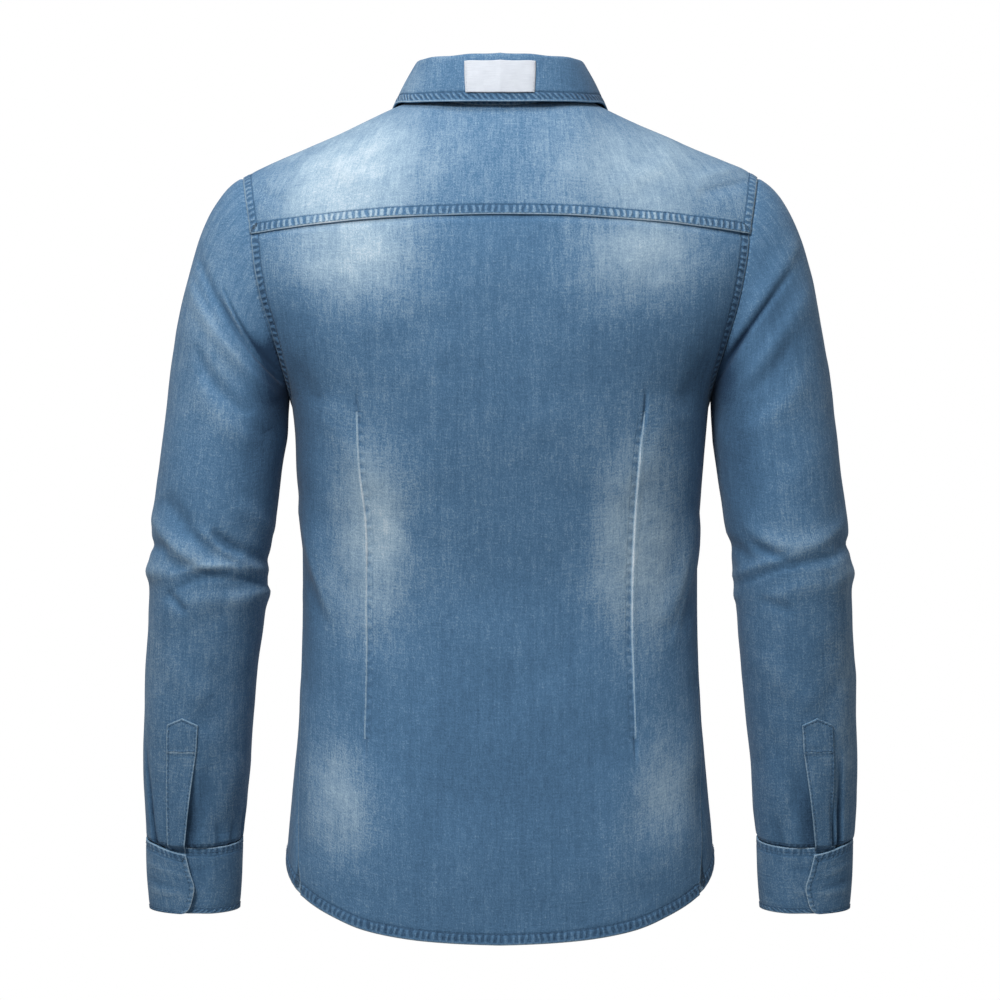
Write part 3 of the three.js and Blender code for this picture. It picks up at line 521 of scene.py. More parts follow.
# A painted highlight on each tuck's edge and painted shade in the valley beside it.
dart_edge_highlight, dart_valley_shade = np.exp(-(((dart_d - 0.4) / 0.5) ** 2)), np.exp(-(((dart_d + 1.3) / 1.1) ** 2))
dart_highlight_and_shade = dart_full * (dart_edge_highlight - 0.9 * dart_valley_shade)
dart_d = np.where((dart_full > 0.2) & (dart_d < 0.4), -dart_d, FAR)
folds = fold_sum(x, z, BACK_FOLDS)
height = (
    ease((y + 30) / 40) * folds
    + undulation(x, z, BODY_NOISE)
    + dart
    + seam_height(hem_d, HEM_BAND, 0.7, 0.5)
    + seam_height(arm_d, SEAM_BAND, 0.5, 0.5)
    + 0.5 * np.exp(-((side_d / 2.5) ** 2))
    - 1.6 * ease((6 - top_d) / 6)
)
back_cloth = pushed(flat_back, height)
back_marks = dict(
    # The shade rows of the table, the tucks' painted highlight and shade, and painted shade growing towards the hem.
    wear_and_shade=fade_sum(x, z, BACK_WEAR_AND_SHADE) + 0.05 * dart_highlight_and_shade - 0.04 * ease((-430 - z) / 200),
    relief_and_crease_shade=folds + dart + 0.5 * undulation(x, z, BODY_NOISE),
    **seam_marks(
        (hem_d, hem_s, HEM_BAND, 1.3),
        (arm_d, arm_s, SEAM_BAND, 1.6),
        (dart_d, z * 0.6, 5.5, 0.55),
        (side_d, z, 2.6, 0.3),
    ),
)
print("the back's cloth lies", round(float(height.min()), 1), "to", round(float(height.max()), 1), "mm off its form")

# %% [markdown]
# The yoke is one piece that lies over both shoulders: from the seam on the back, over the top, to short seams on the
# fronts, with a bay for the neck. Its rows go from the back seam to the front edge, evenly by the angle at which they
# meet the armhole.

# %% The yoke
YOKE_NECK = [float(v) for v in neckline(np.array(float(YOKE_NECK_ANGLE)))[:3]]
YOKE_ARM = [float(v) for v in armhole(-YOKE_FRONT_ANGLE)]


def yoke_front_z(x):
    t = np.clip((np.abs(x) - YOKE_NECK[0]) / (YOKE_ARM[0] - YOKE_NECK[0]), 0, 1)
    return mix(YOKE_NECK[2], YOKE_ARM[2], t**1.1)


def yoke_grid():
    share = np.linspace(0, 1, 131)
    near_x = share * YOKE_END_X
    near_over = over_of(near_x, yoke_back_z(near_x) + 0.2)
    neck_x, _, _, neck_over = neckline(np.minimum(share, 0.5) * 2 * YOKE_NECK_ANGLE)
    arm_x = mix(YOKE_NECK[0], YOKE_ARM[0], np.clip(2 * share - 1, 0, 1))
    far_x = np.where(share < 0.5, neck_x, arm_x)
    far_over = np.where(share < 0.5, neck_over, -over_of(arm_x, yoke_front_z(arm_x)))
    t = np.linspace(0, 1, 90)[:, None]
    ends_x, _, ends_z = armhole(mix(END_ANGLE, -YOKE_FRONT_ANGLE, t))
    ends_over = np.sign(mix(END_ANGLE, -YOKE_FRONT_ANGLE, t)) * over_of(ends_x, ends_z)
    pull = share**3
    x = mix(near_x, far_x, t) + pull * (ends_x - mix(near_x[-1], far_x[-1], t))
    over = mix(near_over, far_over, t) + pull * (ends_over - mix(near_over[-1], far_over[-1], t))
    half = crest_point(x, over)
    return np.concatenate([mirrored(half)[:, :-1], half], 1)


flat_yoke = yoke_grid()
x, y, z = np.moveaxis(flat_yoke, -1, 0)
seam_line = edge_marks(flat_yoke, flat_yoke[0])
front_line = edge_marks(flat_yoke, flat_yoke[-1])
arm_line = closer(edge_marks(flat_yoke, ARM_LINE), edge_marks(flat_yoke, ARM_LINE_RIGHT))
front_end = np.where(np.abs(x) > YOKE_NECK[0], front_line[0], FAR)
# Drags at the shoulders, each row as in the table of folds.
YOKE_FOLDS = [
    (-221, -62, -168, -77, 0, 3, 7, -1.8),
    (-213, -52, -166, -64, 0, 5, 4, 1.3),
    (196.5, -57, 197.5, -75, 0, 1.4, 1.4, 0.5),
    (216, -70, 176, -88, 0, 5, 5, -0.8),
    (150, -40, 96, -78, 4, 8, 8, 0.9),
    (-150, -44, -90, -74, -4, 8, 8, 0.9),
]
folds = undulation(x, z + y, [(52, 0.7, 21), (24, 0.3, 22)]) + fold_sum(x, z, YOKE_FOLDS) * ease((y + 10) / 30)
height = (
    folds
    + seam_height(seam_line[0], YOKE_BAND, 0.6, 0.45)
    + seam_height(arm_line[0], SEAM_BAND, 0.5, 0.5)
    + seam_height(front_end, 4, 0.7, 0.4)
)
yoke_cloth = pushed(flat_yoke, height)
YOKE_FADE = fade_sum(x, z, BACK_WEAR_AND_SHADE) * ease((y + 40) / 60)
FRONT_YOKE_FADES = [("front left", 120, -40, 50, 34, 0.5), ("front right", -118, -42, 52, 32, 0.4)]
yoke_marks = dict(
    wear_and_shade=YOKE_FADE + fade_sum(x, z, FRONT_YOKE_FADES) * ease((-y + 10) / 60),
    relief_and_crease_shade=folds,
    **seam_marks(
        (*seam_line, YOKE_BAND, 1.6),
        (*arm_line, SEAM_BAND, 1.3),
        (front_end, front_line[1], 4, 0.5),
    ),
)

# %% [markdown]
# The fronts aren't seen in the photo, so they are plain: the same body form from the side seam to the closing, with
# soft folds and fades like those of the back. The wearer's left front laps over the right one, and a strip with the
# buttonholes is sewn on its edge. Their side edges run a little way under the back's edge.

# %% The fronts and the strip
LAP_HALF, LAP_START, LAP_UNDER, LAP_OVER = 17, 32, 2.4, 14
FRONT_FOLDS = [
    (150, -300, 100, -392, 4, 12, 12, 2.2),
    (158, -420, 120, -500, -4, 12, 12, 1.8),
    (140, -250, 70, -300, 6, 16, 16, 1.2),
    (90, -520, 96, -680, 0, 16, 16, 1.0),
    (60, -380, 40, -470, 4, 20, 20, -0.8),
]
FRONT_FADES = [
    ("chest", 100, -150, 50, 50, 0.5),
    ("waist", 104, -380, 34, 80, 0.4),
    ("hem", 128, -590, 26, 50, 0.4),
]


def neck_angle_of(x):
    return 180 - np.degrees(np.arcsin(x / NECK_WIDE))


LAP_Z = float(neckline(neck_angle_of(LAP_HALF))[2])


def front_grid(sink):
    arm_x = np.linspace(YOKE_ARM[0], YOKE_NECK[0], 40)
    neck_x, _, neck_z, _ = neckline(np.linspace(YOKE_NECK_ANGLE, neck_angle_of(LAP_START), 26)[1:])
    lap_x = np.linspace(LAP_START, -LAP_HALF, 17)[1:]
    head_x = np.concatenate([arm_x, neck_x, lap_x])
    lap_z = mix(neck_z[-1], LAP_Z, ease((LAP_START - lap_x) / (LAP_START - LAP_HALF)))
    head_z = np.concatenate([yoke_front_z(arm_x), neck_z, lap_z]) - SEAM_GAP
    end = lambda z: section(z, False)[1]
    inner = lambda z: angle_of_x(LAP_START, z, False)
    share = (end(head_z) - angle_of_x(head_x, head_z, False)) / (end(head_z) - inner(head_z))
    share[0] = 0
    on_lap = head_x < LAP_START - 0.01

    def angle_at(z):
        return np.where(on_lap, angle_of_x(head_x * np.ones_like(z), z, False), mix(end(z), inner(z), share))

    foot = np.full_like(head_z, HEM_SIDE)
    for _ in range(30):
        foot = mix(foot, through(HEM_ANGLE, HEM_Z, 180 - np.abs(angle_at(foot))), 0.5)
    low = np.concatenate([np.linspace(HEM_SIDE, HEM_SIDE + 12, 9), np.linspace(HEM_SIDE + 17, ARM_LOW - 4, 80)])
    arm_angles = np.linspace(-180, -YOKE_FRONT_ANGLE, 60)
    z = panel_z(foot, head_z, HEM_SIDE, YOKE_ARM[2] - SEAM_GAP, low, arm_angles)
    grid = body_point(angle_at(z), z, False)
    grid[..., 1] += sink * ease((LAP_START - grid[..., 0]) / LAP_OVER)
    return grid


def front_cloth(sink, seed, mirror):
    """A front with its folds, fades and seams, built as the wearer's left one."""
    flat = front_grid(sink)
    x, y, z = np.moveaxis(flat, -1, 0)
    folds = fold_sum(x, z, FRONT_FOLDS) + undulation(x, z, [(48, 0.9, seed), (22, 0.35, seed + 1)])
    hem = edge_marks(flat, flat[0])
    arm = edge_marks(flat, ARM_LINE)
    side = lengths(flat, 1)
    side = np.where(z < ARM_LOW, side, FAR)
    edge = lengths(flat[:, ::-1], 1)[:, ::-1]
    height = (
        ease((side - 2) / 30) * folds * ease((edge - 30) / 20)
        + seam_height(hem[0], HEM_BAND, 0.7, 0.5)
        + seam_height(arm[0], SEAM_BAND, 0.5, 0.5)
        - 0.8 * (1 - ease(side / 5))
    )
    cloth = pushed(flat, height)
    seams = seam_marks((*hem, HEM_BAND, 1.3), (*arm, SEAM_BAND, 1.0), (side, z, 2.6, 0.3))
    marks = dict(wear_and_shade=fade_sum(x, z, FRONT_FADES), relief_and_crease_shade=folds, **seams)
    return for_side(cloth, marks, mirror)


def strip_grid(front):
    """The buttonhole strip: the left front's last columns moved forward."""
    columns = front[:, -17:]
    strip = columns + np.array([0, -1.6, 0])
    return strip


# %% [markdown]
# The collar has two parts. The stand goes up from the neckline. The fall rolls over the stand's top edge and comes
# down outside it to a free edge, which ends in two points in front. A row of stitches runs 7 mm from the free edge,
# and the turned edge below it puckers. The label is a bare white patch on the fall.

# %% The collar and the label
DOUBLE = 2.2
STAND_LEAN, STAND_SWAY = 4, 2
STAND_ANGLE = [-20, 0, 20, 38, 55, 66, 78, 95, 130, 180]
STAND_HIGH = [39.5, 40.1, 39.5, 34.4, 30.9, 28.8, 28.2, 28.6, 28, 30]
FALL_END, FALL_BULGE, FALL_HALF = 173, 1.2, 197
EDGE_SHARE = [0, 0.2, 0.38, 0.52, 0.66, 0.82, 1]
EDGE_X = [0, 41, 76, 92, 94.5, 79.5, 47]
EDGE_Y = [66.4, 58.5, 36, 0, -36, -71, -92]
EDGE_Z = [1.0, 1.8, 3.2, 4, -14, -58, -92]
ROLL_OUT = [6.2, 4.6, 2.2, 0.3, -0.22]
ROLL_UP = [1.2, 3.5, 3.9, 2.1, 0.5]
COLLAR_BAND = 8.5
LABEL_HALF, LABEL_LOW, LABEL_HIGH = 27.5, 0.81, 0.11


def stand_edge(angle, up):
    foot = np.where(np.abs(angle) > neck_angle_of(LAP_HALF), LAP_Z, neckline(angle)[2])
    past = np.maximum(0, np.abs(angle) - 180)
    high = through(STAND_ANGLE, STAND_HIGH, np.abs(angle) - 2 * past) - 0.6 * np.maximum(0, past - 8)
    lean = STAND_LEAN * up
    x = (NECK_WIDE - lean) * sin(angle)
    y = NECK_Y - STAND_SWAY * up + (NECK_DEEP - lean) * cos(angle)
    tucked = np.where(np.asarray(angle) < 0, (DOUBLE + 0.8) * ease((np.abs(angle) - 158) / 14), 0)
    shrink = 1 - tucked / 66
    return np.stack(np.broadcast_arrays(x * shrink, y * shrink, foot + 0.4 + up * high), -1)


def stand_cloth():
    lap = 360 - neck_angle_of(LAP_HALF)
    angle = np.linspace(-lap, lap, 220)
    up = np.linspace(-0.03, 1, 20)[:, None]
    grid = stand_edge(angle * np.ones_like(up), up)
    d = np.minimum(lengths(grid, 0), lengths(grid[::-1], 0)[::-1])
    cloth = pushed(grid, seam_height(d, 4, 0.3, 0.35))
    return cloth, dict(wear_and_shade=0.1, relief_and_crease_shade=0, **seam_marks((d, lengths(grid, 1), 4, 0.6)))


def fall_grid(share, down):
    """The fall by its share of half the length (-1 to 1) and by the way down: 0 to 1 is the leaf, and 0 to -4 are
    steps of the roll over the stand's top edge."""
    at = np.abs(share)
    angle = at * FALL_END
    top = stand_edge(angle, 1.0)
    out = np.stack(np.broadcast_arrays(sin(angle), cos(angle), 0 * at), -1)
    edge = np.stack([through(EDGE_SHARE, column, at) for column in (EDGE_X, EDGE_Y, EDGE_Z)], -1)
    step = np.maximum(0, -down)
    start = top + out * np.interp(step, range(5), ROLL_OUT)[..., None]
    start[..., 2] += np.interp(step, range(5), ROLL_UP)
    leaf = np.clip(down, 0, 1)[..., None]
    grid = mix(start, edge, leaf) + out * FALL_BULGE * np.sin(np.pi * leaf)
    grid[..., 0] *= np.where(share < 0, -1, 1)
    return grid


def fall_cloth():
    share = np.linspace(-1, 1, 257) * np.ones((58, 1))
    rolls = np.linspace(0, -4, 11)[1:]
    down = np.concatenate([np.linspace(1, 0, 48), rolls])[:, None] * np.ones_like(share)
    grid = fall_grid(share, down)
    d = np.minimum(lengths(grid, 0), (1 - np.abs(share)) * FALL_HALF)
    s = lengths(grid, 1)
    wave = 0.55 * soft_noise(s, 0 * s, 26, 31) * ease(1 - lengths(grid, 0) / 30)
    cloth = pushed(grid, seam_height(d, COLLAR_BAND, 0.4, 0.45) + wave)
    marks = dict(wear_and_shade=collar_light_shade_and_fade(cloth), relief_and_crease_shade=wave, **seam_marks((d, s, COLLAR_BAND, 1.5)))
    return cloth, marks


def collar_light_shade_and_fade(grid):
    x, y, z = np.moveaxis(grid, -1, 0)
    # The left side of the collar is lightened as painted light and the right side darkened as painted shade; the ridge
    # of the roll is paler.
    fades = [("collar left light", 84, 20, 26, 24, 0.22),
        ("collar right shade", -80, 20, 34, 34, -0.3),
        ("collar ridge", 30, 46, 90, 6, 0.16)]
    return fade_sum(x, z, fades)


def label_cloth():
    share = np.linspace(-LABEL_HALF, LABEL_HALF, 61) / FALL_HALF * np.ones((29, 1))
    down = np.linspace(LABEL_LOW, LABEL_HIGH, 29)[:, None] * np.ones_like(share)
    grid = fall_grid(share, down)
    s = lengths(grid, 1)
    side = np.minimum(s, s[:, -1:] - s)
    v = lengths(grid, 0)
    bow = 0.5 * np.exp(-(((side - 6) / 6) ** 2)) - 0.3 * np.exp(-((side / 1.6) ** 2))
    return pushed(grid, 1.25 + bow), dict(wear_and_shade=0, relief_and_crease_shade=0, **seam_marks((side, v, 3, 0.2)))


print("the collar's point in front:", [round(float(v), 1) for v in fall_grid(np.array(1.0), np.array(1.0))])

# %% [markdown]
# Each sleeve is one tube. Its head leaves the armhole along the slope of the shoulder and turns down into rings that
# grow narrower to the wrist. On the real shirt the cloth drags from the armpit and piles up at the elbow, and the two
# sleeves do this differently, so each has its own table. The sleeve's head starts a little inside the armhole, under
# the body's stitched edge, and its foot ends inside the cuff.

# %% The sleeves
RING_Z = [-290, -340, -385, -426, -470, -516, -567, -608, -641]
RING_X = [239.7, 246.2, 251.8, 255, 258.6, 263, 266.4, 268, 268.8]
RING_Y = [0, 1, 0, -4, -12, -21, -31, -39, -45]
RING_WIDTH = [54.4, 53.2, 51.8, 51, 49.8, 48.6, 47.2, 45.2, 43]
RING_DEPTH = [62, 59, 57, 54, 51, 48, 44, 40, 36]
RING_DIP = [0, 0, 0.05, 0.12, 0.18, 0.2, 0.2, 0.2, 0.2]
SLEEVE_RINGS = (RING_Z, RING_X, RING_Y, RING_WIDTH, RING_DEPTH, RING_DIP)
CUFF_Z = [-637, -669, -698.5]
CUFF_RINGS = (CUFF_Z, [268.8, 269.2, 269.4], [-44.5, -50, -54.5], [42.8, 42, 39.8], [36, 35, 33.6], [0.2, 0.16, 0.1])
CAP_TOP, CAP_UNDER = np.array([0.92, 0, -0.4]), np.array([0.12, 0, -0.99])
CAP_DOWN = np.array([0.12, 0, -1])
CUFF_TOP, CUFF_FOOT = -637, -698.5
CUFF_UNDERLAP, CUFF_EDGE, CUFF_LAPS = 52, 89, 28
PLACKET_TOP, PLACKET_POINT, PLACKET_FOOT, PLACKET_BOX = -532.5, 6, -652, -557
PLACKET_OUTER, PLACKET_INNER, PLACKET_INNER_LOW, PLACKET_LIFT = 61, 93, 81, 2.0

# Each row: x0, z0, x1, z1, bow, width above, width below, height, with x away from the body.
LEFT_FOLDS = [
    (266, -118, 181, -243, 11, 5, 3, -2.6),
    (244, -166, 176, -246, 5, 4.5, 1.8, -4.0),
    (272, -146, 190, -252, 7, 3.6, 9, 3.6),
    (276, -170, 200, -280, 6, 10, 14, 2.6),
    (262, -204, 214, -266, 8, 8, 6, -3.2),
    (258, -236, 206, -292, 8, 8, 12, 2.4),
    (306, -346, 206, -404, 17, 8, 5, 3.4),
    (292, -384, 266, -399, 3, 4, 6, -1.4),
    (291, -424, 200, -415, -14, 1.4, 2.4, -1.7),
    (284, -407, 204, -402, -8, 4, 2.2, 2.6),
    (292, -336, 242, -390, 1, 9, 6, -3.2),
    (247, -366, 220, -386, 1, 4, 5, -3.8),
    (266, -360, 200, -402, 2, 5, 4, 3.0),
    (286, -418, 268, -436, 0, 3, 5, -2.6),
    (292, -436, 212, -430, -8, 7, 12, 2.2),
    (236, -424, 180, -416, 0, 5, 10, 3.2),
    (318, -374, 284, -384, 0, 6, 5, -3.0),
    (332, -398, 276, -404, 0, 9, 8, 3.6),
    (248, -370, 190, -394, 3, 6, 6, -2.2),
    (226, -340, 196, -368, 0, 8, 8, 1.6),
    (288, -470, 250, -512, 4, 12, 12, 1.4),
    (236, -486, 262, -540, -4, 11, 11, -1.3),
    (228, -560, 246, -628, 0, 9, 9, 1.4),
    (256, -570, 238, -634, 3, 7, 7, -1.6),
]
RIGHT_FOLDS = [
    (252, -141, 170, -252, 0, 4.5, 2.6, -2.8),
    (274, -94, 186, -222, 0, 9, 7, 2.4),
    (214, -196, 176, -247, 0, 5, 3.4, -2.4),
    (272, -150, 198, -254, 2, 7, 11, 2.4),
    (264, -226, 208, -284, 6, 9, 12, 2.2),
    (252, -196, 212, -250, 4, 8, 7, -2.0),
    (208, -360, 300, -356, -23, 9, 6, 2.8),
    (213, -375, 250, -394, 0, 4, 4, -1.9),
    (262, -394, 304, -378, -3, 4, 5, -0.9),
    (204, -413, 292, -386, 4, 1.8, 3.4, -1.3),
    (198, -408, 262, -387, 4, 4, 2.6, 2.2),
    (256, -402, 302, -386, -4, 5, 7, 1.6),
    (226, -428, 300, -410, 6, 7, 12, 2.2),
    (222, -424, 252, -434, 0, 4, 6, -1.8),
    (330, -398, 284, -406, 0, 9, 9, 3.6),
    (318, -374, 288, -380, 0, 6, 6, -3.0),
    (194, -372, 216, -392, 0, 6, 6, -2.6),
    (206, -426, 180, -408, 0, 5, 10, 2.4),
    (228, -470, 268, -520, -4, 12, 12, 1.4),
    (292, -486, 268, -548, 4, 11, 11, -1.3),
    (232, -566, 250, -632, 0, 9, 9, 1.4),
    (262, -560, 246, -632, 3, 7, 7, -1.4),
]
# The bottoms of the sharpest creases: thin grooves, darkened as painted shade. Each row as above.
LEFT_LINES = [
    (238, -155, 178, -239, 7, 1.4, 1.4, 1.4),
    (214, -195, 178, -238, 3, 3.4, 1.8, 1.2),
    (236, -163, 184, -237, 7, 2, 3.4, -0.8),
    (282, -416, 203, -413, -13, 1.4, 1.8, 0.7),
    (246, -372, 222, -386, 1, 1.8, 2.4, 0.45),
    (286, -420, 268, -436, 0, 1.6, 2.2, 0.4),
]
RIGHT_LINES = [
    (236, -161, 175, -244, 0, 1.3, 1.3, 1.2),
    (214, -191, 176, -243, 0, 3.4, 1.8, 1.2),
    (206, -412, 268, -394, 4, 1.4, 1.8, 0.5),
    (214, -377, 248, -393, 0, 1.6, 2.0, 0.3),
]
# Pleats at the cuff: angle round the sleeve and height where each starts, angle at the cuff, depth, width.
LEFT_PLEATS = [(20, -540, 36, 6.5, 3.4), (164, -600, 168, 3.8, 5), (118, -606, 122, 1.2, 6), (144, -612, 142, 1.2, 5)]
RIGHT_PLEATS = [(52, -540, 47, 5.4, 3.2), (64, -584, 58, 3.6, 3), (172, -592, 174, 2.4, 6), (126, -606, 122, 1.4, 6)]


def ring_point(rings, angle, z, inset=0.0):
    keys, middle_x, middle_y, width, depth, dip = rings
    wide = through(keys, width, z) + inset
    deep = through(keys, depth, z) + inset
    hang = through(keys, dip, z) * deep * sin(angle)
    x = through(keys, middle_x, z) + wide * cos(angle)
    y = through(keys, middle_y, z) + deep * sin(angle)
    return np.stack(np.broadcast_arrays(x, y, z - hang), -1)


def cap_point(angle, t):
    """The sleeve's head: a cubic from the armhole (t = 0) to the first ring (t = 1), with its own direction at each
    end. Below t = 0 it goes straight on under the body's edge."""
    angle, t = np.broadcast_arrays(angle, t)
    high = ((1 + cos(angle)) / 2)[..., None]
    away = mix(CAP_UNDER, CAP_TOP, high)
    away = away / np.linalg.norm(away, axis=-1, keepdims=True)
    start = np.stack(armhole(angle), -1) + 0.4 * away + 0.8 * (1 - high) * np.array([1, 0, 0])
    end = ring_point(SLEEVE_RINGS, angle, RING_Z[0] * np.ones_like(t))
    s = np.maximum(t, 0)[..., None]
    leave = (s**3 - 2 * s**2 + s) * mix(38, 150, high)
    arrive = (s**3 - s**2) * mix(40, 274, high)
    curve = start * (2 * s**3 - 3 * s**2 + 1) + away * leave + end * (3 * s**2 - 2 * s**3) + CAP_DOWN * arrive
    return curve + away * np.minimum(t, 0)[..., None]


def pleats_at(angle, z, pleats):
    """The pleats' depth: each a valley that is steep on one side, growing down to the cuff and turning with it."""
    total = 0 * z
    for start_angle, start_z, foot_angle, depth, width in pleats:
        down = (start_z - z) / (start_z - CUFF_TOP)
        away = ((angle - mix(start_angle, foot_angle, down) + 540) % 360 - 180) * np.radians(43)
        width = np.where(away > 0, width, 1.8)
        total = total + depth * ease(down) * np.exp(-((away / width) ** 2))
    return total


def under_lap(angle, z):
    """How far the sleeve sinks beside the placket's free edge, where the slit is open and the cuff's end lies under."""
    free_edge = mix(PLACKET_INNER, PLACKET_INNER_LOW, ease((-560 - z) / 80))
    across = ease((angle - free_edge + 14) / 10) * (1 - ease((angle - free_edge - 3) / 22))
    return 3.2 * across * ease((-556 - z) / 60)


def sleeve_form(angle, levels, folds, lines, pleats, seed):
    """The sleeve's points, the height of its folds, and a colour mark: paler on the ridges, with painted shade in the
    troughs, the pleats and the thin crease lines. Levels are 0 to 1 for the head and a height below it."""
    head = cap_point(angle, np.where(levels > -20, levels, 1.0))
    rings = ring_point(SLEEVE_RINGS, angle, np.where(levels > -20, -290.0, levels))
    p = np.where((levels > -20)[..., None], head, rings)
    x, y, z = np.moveaxis(p, -1, 0)
    wrap = mix(0.6, -0.15, ease((z + 340) / 60))
    facing = ease((sin(angle) + wrap) / 0.5)
    rooted = np.where(levels > -20, ease(levels / 0.2), 1.0)
    bend = ease((-sin(angle) - 0.1) / 0.6) * np.exp(-(((z + 392) / 40) ** 2)) * 3 * cos((z + 392) / 26 * 180)
    soft = undulation(np.abs(((angle + 180) % 360) - 180) * 0.9, z, [(44, 1.0, seed), (19, 0.45, seed + 1)])
    bulk = facing * rooted * fold_sum(x, z, folds)
    tuck = pleats_at(angle, z, pleats)
    thin = facing * rooted * fold_sum(x, z, lines)
    height = bulk - tuck - bend + rooted * soft - thin
    # The third value darkens the pleats and the thin crease lines as painted shade.
    return p, height, bulk - 3.2 * tuck - 8 * thin


def out_of(angle):
    """The way straight out of the arm at an angle round it."""
    return np.stack(np.broadcast_arrays(cos(angle), sin(angle), 0.0 * angle), -1)


def sleeve_cloth(folds, lines, pleats, seed, fades, mirror):
    around = np.concatenate([np.linspace(180, 0, 97), np.linspace(0, -180, 51)[1:-1]])
    angle = around * np.ones((246, 1))
    rings = np.linspace(-652, -294, 142)
    cap = np.linspace(1, 0.06, 90)
    edge = np.linspace(0.05, 0, 9)
    under = np.linspace(-1.2, -6, 5)
    levels = np.concatenate([rings, cap, edge, under])[:, None] * np.ones_like(around)
    p, height, bulk = sleeve_form(angle, levels, folds, lines, pleats, seed)
    tucked = np.where(levels > -20, ease(1 - levels / 0.02), 0)
    in_cuff = (0.4 * ease((CUFF_TOP + 7 - levels) / 5) + 6.5 * ease((CUFF_TOP + 2.4 - levels) / 4)) * (levels <= -20)
    p = p + out_of(angle) * (height - in_cuff - under_lap(angle, levels))[..., None]
    p = pushed(p, -1.1 * tucked, closed=True)
    x, y, z = np.moveaxis(p, -1, 0)
    arm_d, arm_s = edge_marks(p, ARM_LINE)
    cuff_d = np.where(levels <= -20, np.abs(levels - CUFF_TOP), FAR)
    seams = seam_marks((arm_d, arm_s, 3.5, 0.35), (cuff_d, angle * 0.75, 4, 0.7))
    # The fades and painted shade hold on the side towards the back. Beside the placket's free edge the colour is
    # darker, partly the less worn cloth under the placket and partly painted shade in the open slit; the sleeve grows a
    # little lighter towards its top.
    lit = ease((sin(angle) + 0.3) / 0.8)
    low = (levels <= -20) * under_lap(angle, levels)
    wear_and_shade = fade_sum(x, z, fades) * lit + 0.06 * ease((z + 300) / 200) - 0.17 * low
    return for_side(p, dict(wear_and_shade=wear_and_shade, relief_and_crease_shade=bulk, **seams), mirror)


# Fades and painted shade of each sleeve, as in the back's table. The rows at the armpit and on the inner side next to
# the body are painted shade; the others are fades.
LEFT_ARM_WEAR_AND_SHADE = [
    ("elbow roll", 262, -384, 40, 16, 0.09),
    ("upper arm", 262, -200, 34, 70, 0.05),
    ("armpit", 196, -246, 24, 30, -0.3),
    ("armpit heart shade", 187, -226, 14, 30, -1.0),
    ("armpit crease shade", 199, -213, 9, 14, -0.4),
    ("inner", 203, -290, 14, 60, -0.25),
    ("outer", 300, -480, 14, 90, 0.1),
    ("forearm", 236, -500, 24, 90, 0.08),
]
RIGHT_ARM_WEAR_AND_SHADE = [
    ("elbow roll", 256, -372, 40, 16, 0.06),
    ("upper arm", 272, -190, 24, 70, 0.04),
    ("armpit", 236, -180, 30, 60, -0.3),
    ("armpit heart shade", 187, -230, 14, 30, -1.0),
    ("inner", 205, -290, 16, 70, -0.3),
    ("outer", 301, -530, 16, 120, 0.2),
]

# %% [markdown]
# A cuff is a stiff strip round the wrist and past itself: its under end lies inside its over end. The over end's edge
# waves a little and its lower corner is rounded. The placket is the narrow pointed strip over the slit of the sleeve.
# Its inner edge is free and stands open a little.

# %% The cuffs and the plackets
CUFF_WAVE_Z = [-699, -685, -670, -655, -637]
CUFF_WAVE = [4, -1, -4, 1, 6]


# Creases of the cuff, each row as above, with the distance round the wrist in place of x.
CUFF_CREASES = [
    (236, -655, 290, -659, 1, 2.5, 4, 0.35),
    (240, -668, 286, -671, -1, 2.5, 3, -0.35),
    (238, -681, 292, -678, 1, 3, 4, 0.35),
    (4, -660, 48, -656, 1, 3, 4, -0.35),
    (2, -674, 40, -678, -1, 3, 3, 0.35),
]


def cuff_cloth(seed, mirror):
    end = 360 + CUFF_EDGE
    share = np.linspace(0, 1, 251)
    z = np.concatenate([np.linspace(CUFF_FOOT, CUFF_FOOT + 8, 9), np.linspace(CUFF_FOOT + 9.5, CUFF_TOP + 0.6, 33)])[:, None]
    swing = -through(CUFF_WAVE_Z, CUFF_WAVE, z)
    corner = np.maximum(0, 1 - (z - CUFF_FOOT) / 9)
    last = end + swing - 9 * (1 - np.sqrt(np.clip(1 - corner**2, 0, 1)))
    angle = mix(last, CUFF_UNDERLAP, share)
    inset = -(DOUBLE + 1) * (1 - ease((angle - CUFF_EDGE - 4) / (CUFF_LAPS - 4)))
    drop = 5.2 * ease((angle - end + 60) / 60) * (z - CUFF_FOOT) / (CUFF_TOP - CUFF_FOOT)
    grid = ring_point(CUFF_RINGS, angle, z * np.ones_like(angle), inset)
    grid[..., 2] -= drop
    top = lengths(grid[::-1], 0)[::-1]
    foot = lengths(grid, 0)
    free = lengths(grid, 1)
    d = np.minimum(np.minimum(top, foot), free)
    seams = seam_marks((top, free, 7.5, 1.0), (foot, free, 4.5, 1.0), (free, foot, 5, 0.6))
    wave = undulation(angle * 0.75, z * np.ones_like(angle), [(30, 0.45, seed)])
    over = ease((angle - end + 40) / 40)
    creases = fold_sum(angle * 0.75 - 40, z, CUFF_CREASES)
    pulled_in = 0.5 * (1 - ease(top / 7)) * (1 - 0.6 * over)
    cloth = pushed(grid, wave + creases + seam_height(d, 5, 0.3, 0.4) - pulled_in + 0.8 * over * (1 - ease(free / 14)))
    # The creases show in the colour: paler ridges and painted shade in their troughs.
    marks = dict(wear_and_shade=0.1 * np.exp(-((free / 5) ** 2)), relief_and_crease_shade=wave + 8 * creases, **seams)
    return for_side(cloth, marks, mirror)


